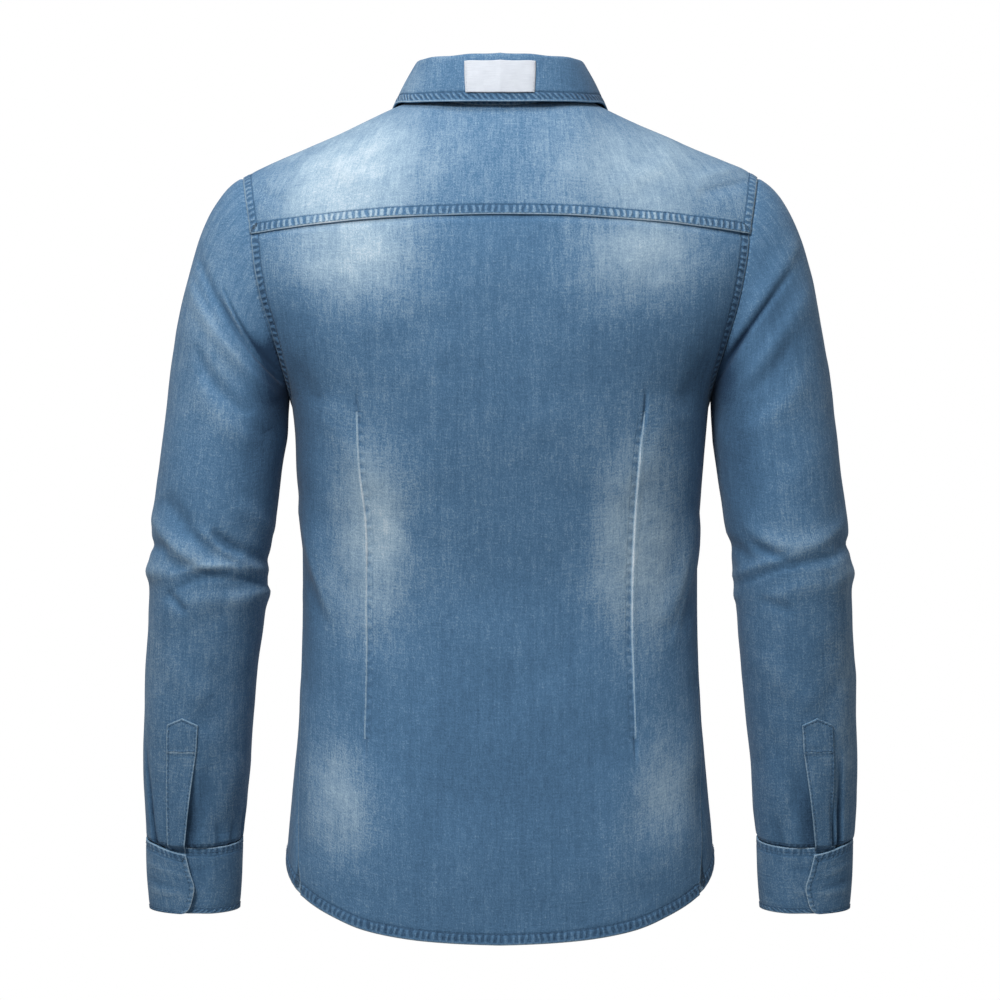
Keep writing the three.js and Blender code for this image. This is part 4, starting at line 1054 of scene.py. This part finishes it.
def placket_cloth(folds, lines, pleats, seed, faint, mirror):
    share = np.linspace(1, 0, 29) * np.ones((96, 1))
    up = np.linspace(0, 1, 96)[:, None] * np.ones_like(share)
    angle = mix(PLACKET_OUTER, mix(PLACKET_INNER_LOW, PLACKET_INNER, np.clip(up * 1.25, 0, 1)), share)
    head = PLACKET_TOP + PLACKET_POINT * (1 - np.abs(2 * share - 1))
    z = mix(PLACKET_FOOT, head, up)
    level = z + through(RING_Z, RING_DIP, z) * 40 * sin(angle)
    p, height, _ = sleeve_form(angle, level, folds, lines, pleats, seed)
    free = PLACKET_LIFT * share**2 * np.sin(np.pi * np.clip(up / 0.75, 0, 1))
    in_cuff = 6 * ease((PLACKET_FOOT + 11 - z) / 6)
    grid = p + out_of(angle) * (height + 1.6 + free - in_cuff)[..., None]
    left, right = lengths(grid, 1), lengths(grid[:, ::-1], 1)[:, ::-1]
    top = lengths(grid[::-1], 0)[::-1]
    box = np.abs(z - PLACKET_BOX)
    d = np.minimum(np.minimum(left, right), np.minimum(top, box))
    seams = seam_marks((left, up * 107, 2.5, 0.3), (right, up * 107, 2.5, 0.5), (top, left, 2.5, 0.3), (box, left, 1, 0.3))
    cloth = pushed(grid, seam_height(d, 2.5, 0.25, 0.35))
    dull = faint * (1 - ease((np.minimum(np.minimum(right, top), box) - 0.6) / 0.8))
    marks = dict(wear_and_shade=0.03 - dull, relief_and_crease_shade=0, **seams)
    return for_side(cloth, marks, mirror)


# %% [markdown]
# Every stitch row is a set of small round-ended beads of thread, 2.7 mm long with a small gap, laid along a line that
# keeps its distance from an edge. Each bead is set on the nearest point of the cloth and turned along the line.

# %% Stitches
STITCH_PITCH, STITCH_LONG, THREAD = 3.4, 2.7, 0.36


def evenly(line, pitch):
    """Points at even distances along a line of points."""
    along = lengths(line, 0)
    at = np.arange(pitch / 2, along[-1], pitch)
    return np.stack([np.interp(at, along, line[:, k]) for k in range(3)], -1)


def inside_edge(grid, border, distance):
    """The line at a distance from a border, measured up each column ("foot"), down it ("head"), or along each row from
    its first ("first") or last ("last") point."""
    g = {"foot": grid, "head": grid[::-1], "first": grid.swapaxes(0, 1), "last": grid[:, ::-1].swapaxes(0, 1)}[border]
    along = lengths(g, 0)
    k = np.maximum((along < distance).sum(0) - 1, 0)
    column = np.arange(g.shape[1])
    low, high = along[k, column], along[np.minimum(k + 1, len(g) - 1), column]
    t = ((distance - low) / np.maximum(high - low, 1e-6))[:, None]
    return mix(g[k, column], g[np.minimum(k + 1, len(g) - 1), column], t)


def beads(line, out, way, long=STITCH_LONG):
    """A row of beads as one set of points and faces: six-sided, with a ring in the middle and one at each end."""
    way = way / np.linalg.norm(way, axis=-1, keepdims=True)
    side = np.cross(way, out)
    side = side / np.linalg.norm(side, axis=-1, keepdims=True)
    up = np.cross(side, way)
    turn = np.arange(6) * np.pi / 3
    rings = [(-0.5, 0.35), (0, 1.0), (0.5, 0.35)]
    points = []
    for along, fat in rings:
        middle = line + way * along * long + up * (0.12 - 0.5 * along**2)
        circle = np.cos(turn)[:, None, None] * side * 0.9 + np.sin(turn)[:, None, None] * up * 0.6
        points.append(middle[None] + circle * fat * THREAD)
    points = np.stack(points, 1).transpose(2, 1, 0, 3)
    count = len(line)
    ring = np.arange(6)
    quads = [np.stack([r * 6 + ring, r * 6 + (ring + 1) % 6, (r + 1) * 6 + (ring + 1) % 6, (r + 1) * 6 + ring], -1) for r in range(2)]
    quads = np.concatenate(quads)
    faces = (quads[None] + 18 * np.arange(count)[:, None, None]).reshape(-1, 4)
    caps = np.stack([ring[::-1], 12 + ring])[None] + 18 * np.arange(count)[:, None, None]
    return points.reshape(-1, 3), faces, caps.reshape(-1, 6)

# %% [markdown]
# Materials are graphs of nodes. A small class wraps a socket, so that sums can be written as sums: values go through
# Math nodes and colours through Mix nodes.


# %% Shader sums
class Socket:
    """An output of a node that can be added, multiplied and compared."""

    def __init__(self, shader, output):
        self.shader = shader
        self.output = output

    def _math(self, operation, first, second=None):
        inputs = [first] if second is None else [first, second]
        return self.shader.node("ShaderNodeMath", {"operation": operation}, dict(enumerate(inputs)))

    def __add__(self, other):
        return self._math("ADD", self, other)

    def __radd__(self, other):
        return self._math("ADD", other, self)

    def __sub__(self, other):
        return self._math("SUBTRACT", self, other)

    def __rsub__(self, other):
        return self._math("SUBTRACT", other, self)

    def __mul__(self, other):
        return self._math("MULTIPLY", self, other)

    def __rmul__(self, other):
        return self._math("MULTIPLY", other, self)

    def __truediv__(self, other):
        return self._math("DIVIDE", self, other)

    def __pow__(self, other):
        return self._math("POWER", self, other)

    def __neg__(self):
        return self._math("MULTIPLY", self, -1.0)

    def __abs__(self):
        return self._math("ABSOLUTE", self)

    def sine(self):
        return self._math("SINE", self)

    def exp(self):
        return self._math("EXPONENT", self)

    def least(self, other):
        return self._math("MINIMUM", self, other)

    def most(self, other):
        return self._math("MAXIMUM", self, other)


class Shader:
    """A material whose nodes are made one call at a time: the kind, its settings, then its inputs."""

    def __init__(self, name):
        self.material = bpy.data.materials.new(name)
        self.material.use_nodes = True
        self.tree = self.material.node_tree
        self.tree.nodes.clear()

    def node(self, kind, settings=None, inputs=None, output=0):
        node = self.tree.nodes.new(kind)
        for name, value in (settings or {}).items():
            setattr(node, name, value)
        for name, value in (inputs or {}).items():
            if isinstance(value, Socket):
                self.tree.links.new(value.output, node.inputs[name])
            else:
                node.inputs[name].default_value = value
        return Socket(self, node.outputs[output]) if node.outputs else None

    def attribute(self, name):
        return self.node("ShaderNodeAttribute", {"attribute_name": name}, output="Fac")

    def noise(self, vector, scale, detail=2.0, rough=0.5):
        """Smooth noise from 0 to 1 with its middle at 0.5."""
        return self.node(
            "ShaderNodeTexNoise", {}, {"Vector": vector, "Scale": scale, "Detail": detail, "Roughness": rough}
        )

    def veins(self, vector, scale):
        """Thin creased lines between the cells of a warped cell pattern: 1 on a line and 0 inside a cell."""
        shift = self.node("ShaderNodeTexNoise", {}, {"Vector": vector, "Scale": scale * 0.6, "Detail": 2.0}, "Color")
        moved = self.node("ShaderNodeVectorMath", {"operation": "SCALE"}, {0: shift, "Scale": 3.0 / scale})
        bent = self.node("ShaderNodeVectorMath", {"operation": "ADD"}, {0: vector, 1: moved})
        settings = {"feature": "DISTANCE_TO_EDGE"}
        return self.between(self.node("ShaderNodeTexVoronoi", settings, {"Vector": bent, "Scale": scale}), 0.14, 0.0)

    def between(self, value, low, high):
        """A smooth step from 0 where the value is low to 1 where it is high."""
        inputs = {"Value": value, "From Min": low, "From Max": high}
        return self.node("ShaderNodeMapRange", {"interpolation_type": "SMOOTHSTEP"}, inputs)

    def bump_at(self, value, middle, width):
        """A bell: 1 where the value is at the middle, and nearly 0 two widths from it."""
        away = (value - middle) / width
        return (-1.0 * away * away).exp()

    def stretched(self, vector, x, y, z=1.0):
        """A vector with each of its parts multiplied by a number."""
        return self.node("ShaderNodeVectorMath", {"operation": "MULTIPLY"}, {0: vector, 1: (x, y, z)})

    def blend(self, factor, low, high):
        """A colour between two others."""
        return self.node(
            "ShaderNodeMix", {"data_type": "RGBA"}, {"Factor": factor, 6: low, 7: high}, output=2
        )

    def ramp(self, factor, stops):
        """A colour read from a row of (place, colour) stops."""
        node = self.tree.nodes.new("ShaderNodeValToRGB")
        self.tree.links.new(factor.output, node.inputs[0])
        while len(node.color_ramp.elements) < len(stops):
            node.color_ramp.elements.new(1.0)
        for element, (place, colour) in zip(node.color_ramp.elements, stops):
            element.position = place
            element.color = (*colour, 1.0)
        return Socket(self, node.outputs[0])

    def finish(self, colour, rough, height=None, distance=0.0003, sheen=0.0):
        """A matt surface of a colour and a roughness, with a bump from a height between 0 and 1."""
        inputs = {"Base Color": colour, "Roughness": rough, "Specular IOR Level": 0.15, "Sheen Weight": sheen}
        if height is not None:
            inputs["Normal"] = self.node("ShaderNodeBump", {}, {"Strength": 1.0, "Distance": distance, "Height": height})
        surface = self.node("ShaderNodeBsdfPrincipled", {}, inputs)
        self.node("ShaderNodeOutputMaterial", {}, {"Surface": surface})
        return self.material


# %% [markdown]
# Washed denim has a blue warp and a white weft. Where it is worn the blue is rubbed off and the white shows. So one
# number, the tone, decides the colour, from deep blue through mid blue to nearly white. The tone is the sum of the
# fades and the painted shade laid on the mesh, streaks along warp and weft, blotches, and the lines of folds and seams,
# whose ridges are rubbed pale and whose valleys are darkened as painted shade. Puckers at the seams come from the
# distance along the seam, and their hollows and the stitches' groove are darkened as painted shade.

# %% Denim
DEEP, MID, LIGHT, PALE = (0.018, 0.046, 0.095), (0.070, 0.155, 0.270), (0.28, 0.387, 0.482), (0.62, 0.685, 0.72)


def denim(name, base):
    """The denim of a piece by its base tone."""
    s = Shader(name)
    cloth = s.node("ShaderNodeUVMap", {"uv_map": "cloth"})
    wear_and_shade, relief_and_crease_shade = s.attribute("wear_and_shade"), s.attribute("relief_and_crease_shade")
    seam_t, seam_s, strength, band = (s.attribute(name) for name in ("seam_t", "seam_s", "pucker", "band"))
    warp = s.noise(s.stretched(cloth, 560, 70), 1.0, 3.0, 0.6) - 0.5
    slub = s.noise(s.stretched(cloth, 150, 7), 1.0, 2.0, 0.5) - 0.5
    weft = s.noise(s.stretched(cloth, 80, 520), 1.0, 2.0, 0.6) - 0.5
    grain = s.noise(s.stretched(cloth, 900, 640), 1.0, 3.0, 0.75) - 0.5
    crinkle = s.veins(cloth, 150.0)
    blotch = s.noise(cloth, 38.0, 5.0, 0.65) - 0.5
    cloud = s.noise(cloth, 9.0, 2.0, 0.5) - 0.5
    in_band = s.between(seam_t, 1.12, 0.95)
    at_stitch = s.bump_at(seam_t, 1.0, 0.11)
    at_edge = s.between(seam_t * band, 1.3, 0.5)
    unevenness = s.noise(s.stretched(cloth, 75, 75), 1.0, 1.0) * 7.0
    pucker = (seam_s * (2 * np.pi / 5.6) + unevenness).sine()
    across = s.between(seam_t, 0.08, 0.3) * s.between(seam_t, 1.1, 0.75)
    bars = s.between(pucker, -0.9, 0.9) * across * strength
    ragged = wear_and_shade * (1.0 + 1.0 * blotch + 0.6 * cloud)
    streaks = 0.28 * warp + 0.13 * weft + 0.56 * grain + 0.14 * slub
    # Ridges are rubbed pale and valleys darkened as painted shade.
    tone = base + 0.46 * ragged + 0.14 * blotch + 0.10 * cloud + streaks + 0.04 * crinkle + 0.024 * relief_and_crease_shade
    # The turned edge is rubbed pale; the stitches' groove and the hollows between puckers are darkened as painted
    # shade.
    tone = tone + 0.19 * at_edge + 0.03 * in_band - 0.12 * at_stitch * strength - 0.17 * bars
    colour = s.ramp(tone.most(0.0).least(1.0), [(0.0, DEEP), (0.36, MID), (0.66, LIGHT), (1.0, PALE)])
    height = 0.5 - 0.42 * bars - 0.25 * strength * at_stitch + 0.2 * warp + 0.16 * weft + 0.3 * grain + 0.2 * blotch
    return s.finish(colour, 0.88, height + 0.05 * crinkle, 0.0010, 0.05)


def inside_denim():
    """The cloth's inner face, where the white weft shows: paler and plainer."""
    s = Shader("denim inside")
    cloth = s.node("ShaderNodeUVMap", {"uv_map": "cloth"})
    weft = s.noise(s.stretched(cloth, 70, 1100), 1.0, 3.0, 0.6)
    colour = s.ramp(weft, [(0.2, (0.20, 0.28, 0.37)), (0.8, (0.42, 0.50, 0.58))])
    return s.finish(colour, 0.92, weft, 0.0003)


def plain(name, colour, rough):
    return Shader(name).finish((*colour, 1.0), rough)


def label_white():
    """A bare woven label: white, with fine ribs."""
    s = Shader("label")
    cloth = s.node("ShaderNodeUVMap", {"uv_map": "cloth"})
    rib = s.noise(s.stretched(cloth, 60, 2200), 1.0, 2.0, 0.6)
    cloud = s.noise(cloth, 90.0, 3.0, 0.6)
    colour = s.ramp(0.5 * rib + 0.5 * cloud, [(0.3, (0.46, 0.49, 0.54)), (0.7, (0.57, 0.60, 0.65))])
    return s.finish(colour, 0.7, rib, 0.0003, 0.1)


BODY = denim("denim body", 0.33)
YOKE = denim("denim yoke", 0.38)
SLEEVE = denim("denim sleeve", 0.345)
CUFF = denim("denim cuff", 0.35)
COLLAR = denim("denim collar", 0.36)
INSIDE = inside_denim()
# The rim of each cut edge: the cloth's blue, darkened to stand for the shade under the turned edges.
RIM_EDGE_SHADE = plain("denim edge shade", (0.13, 0.25, 0.38), 0.9)
WHITE = label_white()
THREAD_BLUE = plain("thread", (0.06, 0.125, 0.215), 0.8)
THREAD_WHITE = plain("label thread", (0.5, 0.53, 0.58), 0.7)
BUTTON = plain("button", (0.62, 0.64, 0.66), 0.35)
print("materials:", [m.name for m in (BODY, YOKE, SLEEVE, CUFF, COLLAR, INSIDE, WHITE, THREAD_BLUE)])

# %% Make the pieces
left_front, left_front_marks = front_cloth(0.0, 41, False)
right_front, right_front_marks = front_cloth(LAP_UNDER, 43, True)
left_sleeve, left_sleeve_marks = sleeve_cloth(LEFT_FOLDS, LEFT_LINES, LEFT_PLEATS, 51, LEFT_ARM_WEAR_AND_SHADE, False)
right_sleeve, right_sleeve_marks = sleeve_cloth(RIGHT_FOLDS, RIGHT_LINES, RIGHT_PLEATS, 53, RIGHT_ARM_WEAR_AND_SHADE, True)
left_cuff, left_cuff_marks = cuff_cloth(61, False)
right_cuff, right_cuff_marks = cuff_cloth(62, True)
left_placket, left_placket_marks = placket_cloth(LEFT_FOLDS, LEFT_LINES, LEFT_PLEATS, 51, 0.08, False)
right_placket, right_placket_marks = placket_cloth(RIGHT_FOLDS, RIGHT_LINES, RIGHT_PLEATS, 53, 0.38, True)
stand, stand_marks = stand_cloth()
fall, fall_marks = fall_cloth()
label, label_marks = label_cloth()
strip = strip_grid(left_front)
strip_edge = np.minimum(lengths(strip, 1), lengths(strip[:, ::-1], 1)[:, ::-1])
strip_marks = dict(wear_and_shade=0.05, relief_and_crease_shade=0, **seam_marks((strip_edge, lengths(strip, 0), 4, 0.8)))

objects = {
    "back": piece("back-cloth", "back", back_cloth, back_marks, BODY, inside=INSIDE),
    "yoke": piece("yoke-cloth", "yoke", yoke_cloth, yoke_marks, YOKE, inside=INSIDE),
    "front_left": piece("left-front", "front_left", left_front, left_front_marks, BODY, inside=INSIDE),
    "front_right": piece("right-front", "front_right", right_front, right_front_marks, BODY, inside=INSIDE),
    "front_strip": piece("buttonhole-strip", "front_strip", strip, strip_marks, BODY, 1.1),
    "collar_stand": piece("collar-stand-cloth", "collar_stand", stand, stand_marks, COLLAR, 2.0),
    "collar_fall": piece("collar-fall-cloth", "collar_fall", fall, fall_marks, COLLAR, 1.5),
    "label": piece("label-cloth", "label", label, label_marks, WHITE, 0.6, slot="label"),
    "sleeve_left": piece("left-sleeve", "sleeve_left", left_sleeve, left_sleeve_marks, SLEEVE, closed=True, inside=INSIDE),
    "sleeve_right": piece("right-sleeve", "sleeve_right", right_sleeve, right_sleeve_marks, SLEEVE, closed=True, inside=INSIDE),
    "cuff_left": piece("left-cuff", "cuff_left", left_cuff, left_cuff_marks, CUFF, 2.0, inside=INSIDE),
    "cuff_right": piece("right-cuff", "cuff_right", right_cuff, right_cuff_marks, CUFF, 2.0, inside=INSIDE),
    "placket_left": piece("left-placket", "placket_left", left_placket, left_placket_marks, CUFF, 1.1),
    "placket_right": piece("right-placket", "placket_right", right_placket, right_placket_marks, CUFF, 1.1),
}

# %% [markdown]
# Each piece was cut flat. Its flat size is the longest row by the longest column of its grid, and its area is the
# cloth's own. A table names the piece above each one, which the code does not use.

# %% Cut sizes
HANGS_FROM = {
    "back": (back_cloth, "yoke"),
    "yoke": (yoke_cloth, None),
    "front_left": (left_front, "yoke"),
    "front_right": (right_front, "yoke"),
    "front_strip": (strip, "front_left"),
    "collar_stand": (stand, "yoke"),
    "collar_fall": (fall, "collar_stand"),
    "label": (label, "collar_fall"),
    "sleeve_left": (left_sleeve, "yoke"),
    "sleeve_right": (right_sleeve, "yoke"),
    "cuff_left": (left_cuff, "sleeve_left"),
    "cuff_right": (right_cuff, "sleeve_right"),
    "placket_left": (left_placket, "sleeve_left"),
    "placket_right": (right_placket, "sleeve_right"),
}
for node, (grid, above) in HANGS_FROM.items():
    tube = node.startswith("sleeve")
    full = unrolled(grid, tube)
    wide, long = lengths(full, 1)[:, -1].max() * MM, lengths(full, 0)[-1].max() * MM
    area = min(area_of(grid, tube), wide * long)
    print(node, "cut", round(wide * 1000), "x", round(long * 1000), "mm,", round(area, 3), "m2")

# %% [markdown]
# The rows of stitches, gathered by the piece they lie on. All the blue ones are one piece, and the label's are another.


# %% Sew
def seated(line, grid, closed=False):
    """The points of a line moved onto a grid's cloth along the nearest point's normal, and the normals there."""
    out = normals(grid, closed).reshape(-1, 3)
    flat = grid.reshape(-1, 3)
    k = np.concatenate([np.linalg.norm(part[:, None] - flat[None], axis=-1).argmin(1) for part in np.array_split(line, 24)])
    gap = ((flat[k] - line) * out[k]).sum(-1, keepdims=True)
    return line + gap * out[k], out[k]


def sewn(name, rows, material):
    """One piece of all the rows given. A row is a line and the grid that it lies on, or ready beads."""
    points, quads, caps, start = [], [], [], 0
    for row in rows:
        if len(row) == 2:
            line = evenly(row[0], STITCH_PITCH)
            on_cloth, out = seated(line, row[1])
            row = beads(on_cloth + 0.12 * out, out, np.gradient(line, axis=0))
        p, q, c = row
        points.append(p)
        quads.append(q + start)
        caps.append(c + start)
        start += len(p)
    mesh = bpy.data.meshes.new(name)
    faces = np.concatenate(quads).tolist() + np.concatenate(caps).tolist()
    mesh.from_pydata((np.concatenate(points) * MM).tolist(), [], faces)
    mesh.polygons.foreach_set("use_smooth", np.ones(len(mesh.polygons), bool))
    mesh.materials.append(material)
    obj = bpy.data.objects.new(name, mesh)
    bpy.context.scene.collection.objects.link(obj)
    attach(obj, "root")
    print(name, start // 18, "stitches")
    return obj


def arm_stitches(grid, distance, first, last):
    """A row on the body's side of an armhole, from one of its angles to another, at a distance from the edge."""
    angle = np.linspace(first, last, 160)
    edge = np.stack(armhole(angle), -1)
    inner, out = seated(edge + np.array([-3.0, 0, 0]), grid)
    way = np.gradient(edge, axis=0)
    side = np.cross(out, way)
    side /= np.linalg.norm(side, axis=-1, keepdims=True)
    side *= np.sign((side * (inner - edge)).sum(-1, keepdims=True))
    return edge + side * distance


on_back = [(inside_edge(back_cloth, "foot", HEM_BAND), back_cloth)]
on_yoke = [(inside_edge(yoke_cloth, "foot", d), yoke_cloth) for d in (1.6, YOKE_BAND)]
on_fronts, on_sleeves = [], []
for mirror in (False, True):
    flip = (lambda line: line * [-1, 1, 1]) if mirror else (lambda line: line)
    on_back.append((flip(arm_stitches(flat_back, SEAM_BAND, 165, END_ANGLE + 3)), back_cloth))
    on_yoke.append((flip(arm_stitches(flat_yoke, SEAM_BAND, END_ANGLE - 5, -38)), yoke_cloth))
    front = right_front if mirror else left_front
    cuff = right_cuff if mirror else left_cuff
    placket = right_placket if mirror else left_placket
    free_edge = "last" if mirror else "first"
    on_fronts.append((inside_edge(front, "foot", HEM_BAND), front))
    on_sleeves += [(inside_edge(cuff, edge, 4.2)[3:-3], cuff) for edge in ("foot", "head", free_edge)]
    on_sleeves += [(inside_edge(placket, edge, 2.0)[:-2], placket) for edge in ("first", "last")]
    on_sleeves.append((inside_edge(placket, "head", 2.0)[2:-2], placket))
    at = np.abs(placket[:, :, 2] - PLACKET_BOX).argmin(0)
    on_sleeves.append((placket[at, np.arange(placket.shape[1])][2:-2], placket))
on_collar = [(inside_edge(fall, "foot", COLLAR_BAND)[10:-10], fall)]
on_strip = [(inside_edge(strip, edge, 4.0)[4:-4], strip) for edge in ("first", "last")]
print("rows of stitches:", len(on_back + on_yoke + on_fronts + on_sleeves + on_collar + on_strip))

# %% [markdown]
# The shirt closes with seven buttons, one on the stand and six on the strip. They don't show in the photo, so they
# are plain four-hole shirt buttons. Each takes its place and its way from the solid that it replaces. Its hole is a
# slit with a close row of short stitches on both sides, seen above and below the button.

# %% Buttons and buttonholes
BUTTON_R = [0.3, 0.7, 1.0, 1.3, 1.6, 1.9, 2.2, 2.5, 2.9, 3.4, 3.8, 4.2, 4.6, 5.0, 5.3, 5.5, 5.6, 5.5, 5.1, 4.4, 3.0, 0.4]
BUTTON_H = [0.5, 0.5, 0.5, 0.5, 0.5, 0.5, 0.5, 0.5, 0.52, 0.6, 0.8, 1.02, 1.18, 1.2, 1.05, 0.7, 0.2, -0.5, -0.95, -1.15, -1.2, -1.2]
HOLE_PLACE, HOLE_RADIUS, HOLE_DEEP = 1.25, 0.75, 1.4
HOLE_LONG, HOLE_STEP, HOLE_GAP = 17.0, 0.85, 1.2


def button_frame(name):
    """The middle of a CAD button and its ways to the side, up and out."""
    node = bpy.data.objects[name]
    points = np.array([node.matrix_world @ v.co for v in node.data.vertices]) / MM
    middle = (points.max(0) + points.min(0)) / 2
    out = np.linalg.eigh(np.cov((points - middle).T))[1][:, 0]
    out = out * -np.sign(out[1])
    side = np.array([1.0, 0, 0])
    return middle, side, np.cross(side, -out), out


def button_piece(name, material):
    """A turned button whose face dips steeply at four holes."""
    middle, side, up, out = button_frame(name)
    r = np.array(BUTTON_R)[:, None]
    turn = np.linspace(0, 2 * np.pi, 49)[:-1]
    u, v = r * np.cos(turn), r * np.sin(turn)
    from_hole = np.hypot(np.abs(u) - HOLE_PLACE, np.abs(v) - HOLE_PLACE)
    face = (np.arange(len(r)) < 12)[:, None]
    h = np.array(BUTTON_H)[:, None] - face * HOLE_DEEP * (1 - ease((from_hole - HOLE_RADIUS + 0.35) / 0.4))
    grid = middle + u[..., None] * side + v[..., None] * up + h[..., None] * out
    rows, columns = u.shape
    ends = np.stack([grid[0].mean(0), grid[-1].mean(0)])
    i, j = np.meshgrid(np.arange(rows - 1), np.arange(columns), indexing="ij")
    near, far = j, (j + 1) % columns
    quads = np.stack([i * columns + near, (i + 1) * columns + near, (i + 1) * columns + far, i * columns + far], -1)
    k = np.arange(columns)
    last = (rows - 1) * columns
    first_fan = np.stack([0 * k + rows * columns, k, (k + 1) % columns], -1)
    last_fan = np.stack([0 * k + rows * columns + 1, last + (k + 1) % columns, last + k], -1)
    points = np.concatenate([grid.reshape(-1, 3), ends])
    mesh = bpy.data.meshes.new(name + "-turned")
    faces = quads.reshape(-1, 4).tolist() + first_fan.tolist() + last_fan.tolist()
    mesh.from_pydata((points * MM).tolist(), [], faces)
    mesh.polygons.foreach_set("use_smooth", np.ones(len(mesh.polygons), bool))
    mesh.materials.append(material)
    obj = bpy.data.objects.new(name + "-turned", mesh)
    bpy.context.scene.collection.objects.link(obj)
    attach(obj, "root")
    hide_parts(name)
    return obj


def buttonhole(name, grid, long_way):
    """Short stitches across a slit under a button, in two close rows."""
    middle, side, up, out = button_frame(name)
    long_side, cross = (up, side) if long_way else (side, up)
    at = np.arange(-HOLE_LONG / 2, HOLE_LONG / 2, HOLE_STEP)
    line = np.concatenate([middle + at[:, None] * long_side + s * HOLE_GAP * cross for s in (-0.5, 0.5)])
    on_cloth, outward = seated(line, grid)
    return beads(on_cloth + 0.1 * outward, outward, cross * np.ones_like(on_cloth), HOLE_GAP)


BUTTON_NAMES = [f"button_{k}" for k in range(1, 8)]
for button_name in BUTTON_NAMES:
    button_piece(button_name, BUTTON)
holes = [buttonhole(button_name, strip, True) for button_name in BUTTON_NAMES[1:]]
sewn("stitches", on_back + on_yoke + on_fronts + on_sleeves + on_collar + on_strip + holes, THREAD_BLUE)
on_label = [(inside_edge(label, edge, 1.8)[1:-1], label) for edge in ("first", "last")]
sewn("label-stitches", on_label, THREAD_WHITE)

# %% Stage and camera
MID_HEIGHT = -0.3393
DISTANCE = 3.5


def area_light(name, place, aim, size, power, colour=(1, 1, 1)):
    light = bpy.data.objects.new(name, bpy.data.lights.new(name, "AREA"))
    light.data.shape = "RECTANGLE"
    light.data.size, light.data.size_y = size
    light.data.energy = power
    light.data.color = colour
    light.location = place
    light.rotation_euler = (Vector(aim) - Vector(place)).to_track_quat("-Z", "Y").to_euler()
    bpy.context.scene.collection.objects.link(light)
    return light


scene = bpy.context.scene
scene.view_settings.view_transform = "Standard"
world = bpy.data.worlds.new("studio")
world.use_nodes = True
world.node_tree.nodes["Background"].inputs["Color"].default_value = (1, 1, 1, 1)
world.node_tree.nodes["Background"].inputs["Strength"].default_value = 0.26
scene.world = world
area_light("key", (1.0, 2.3, 1.55), (0.0, 0.0, -0.28), (0.8, 0.8), 82)
area_light("top", (0.1, 0.6, 1.7), (0.0, 0.05, -0.3), (1.2, 0.8), 20)
area_light("fill", (-0.9, 2.8, 0.5), (0.0, 0.0, -0.3), (1.2, 1.4), 9)

# The backdrop is a sheet of paper that glows white: a floor behind the shirt that bends up into a wall.
bend = np.radians(np.linspace(0, 90, 17))
sweep_y = np.concatenate([[-0.9], -1.8 - 0.8 * np.sin(bend), [-2.6]])
sweep_z = np.concatenate([[-1.0], -0.2 - 0.8 * np.cos(bend), [3.0]])
sweep = np.stack([np.stack([np.full_like(sweep_y, x), sweep_y, sweep_z], -1) for x in (3.0, -3.0)], 1)
floor_mesh = bpy.data.meshes.new("floor")
k = 2 * np.arange(len(sweep_y) - 1)
floor_mesh.from_pydata(sweep.reshape(-1, 3).tolist(), [], np.stack([k, k + 1, k + 3, k + 2], -1).tolist())
floor = bpy.data.objects.new("floor", floor_mesh)
scene.collection.objects.link(floor)
backdrop = Shader("backdrop")
light_floor = backdrop.node("ShaderNodeEmission", {}, {"Color": (1, 1, 1, 1), "Strength": 1.0})
backdrop.node("ShaderNodeOutputMaterial", {}, {"Surface": light_floor})
floor_mesh.materials.append(backdrop.material)

camera = bpy.data.objects.new("camera", bpy.data.cameras.new("camera"))
scene.collection.objects.link(camera)
camera.location = (0, DISTANCE, MID_HEIGHT)
camera.rotation_euler = (np.radians(90), 0, np.radians(180))
camera.data.lens = 36 * DISTANCE / 0.87
scene.camera = camera
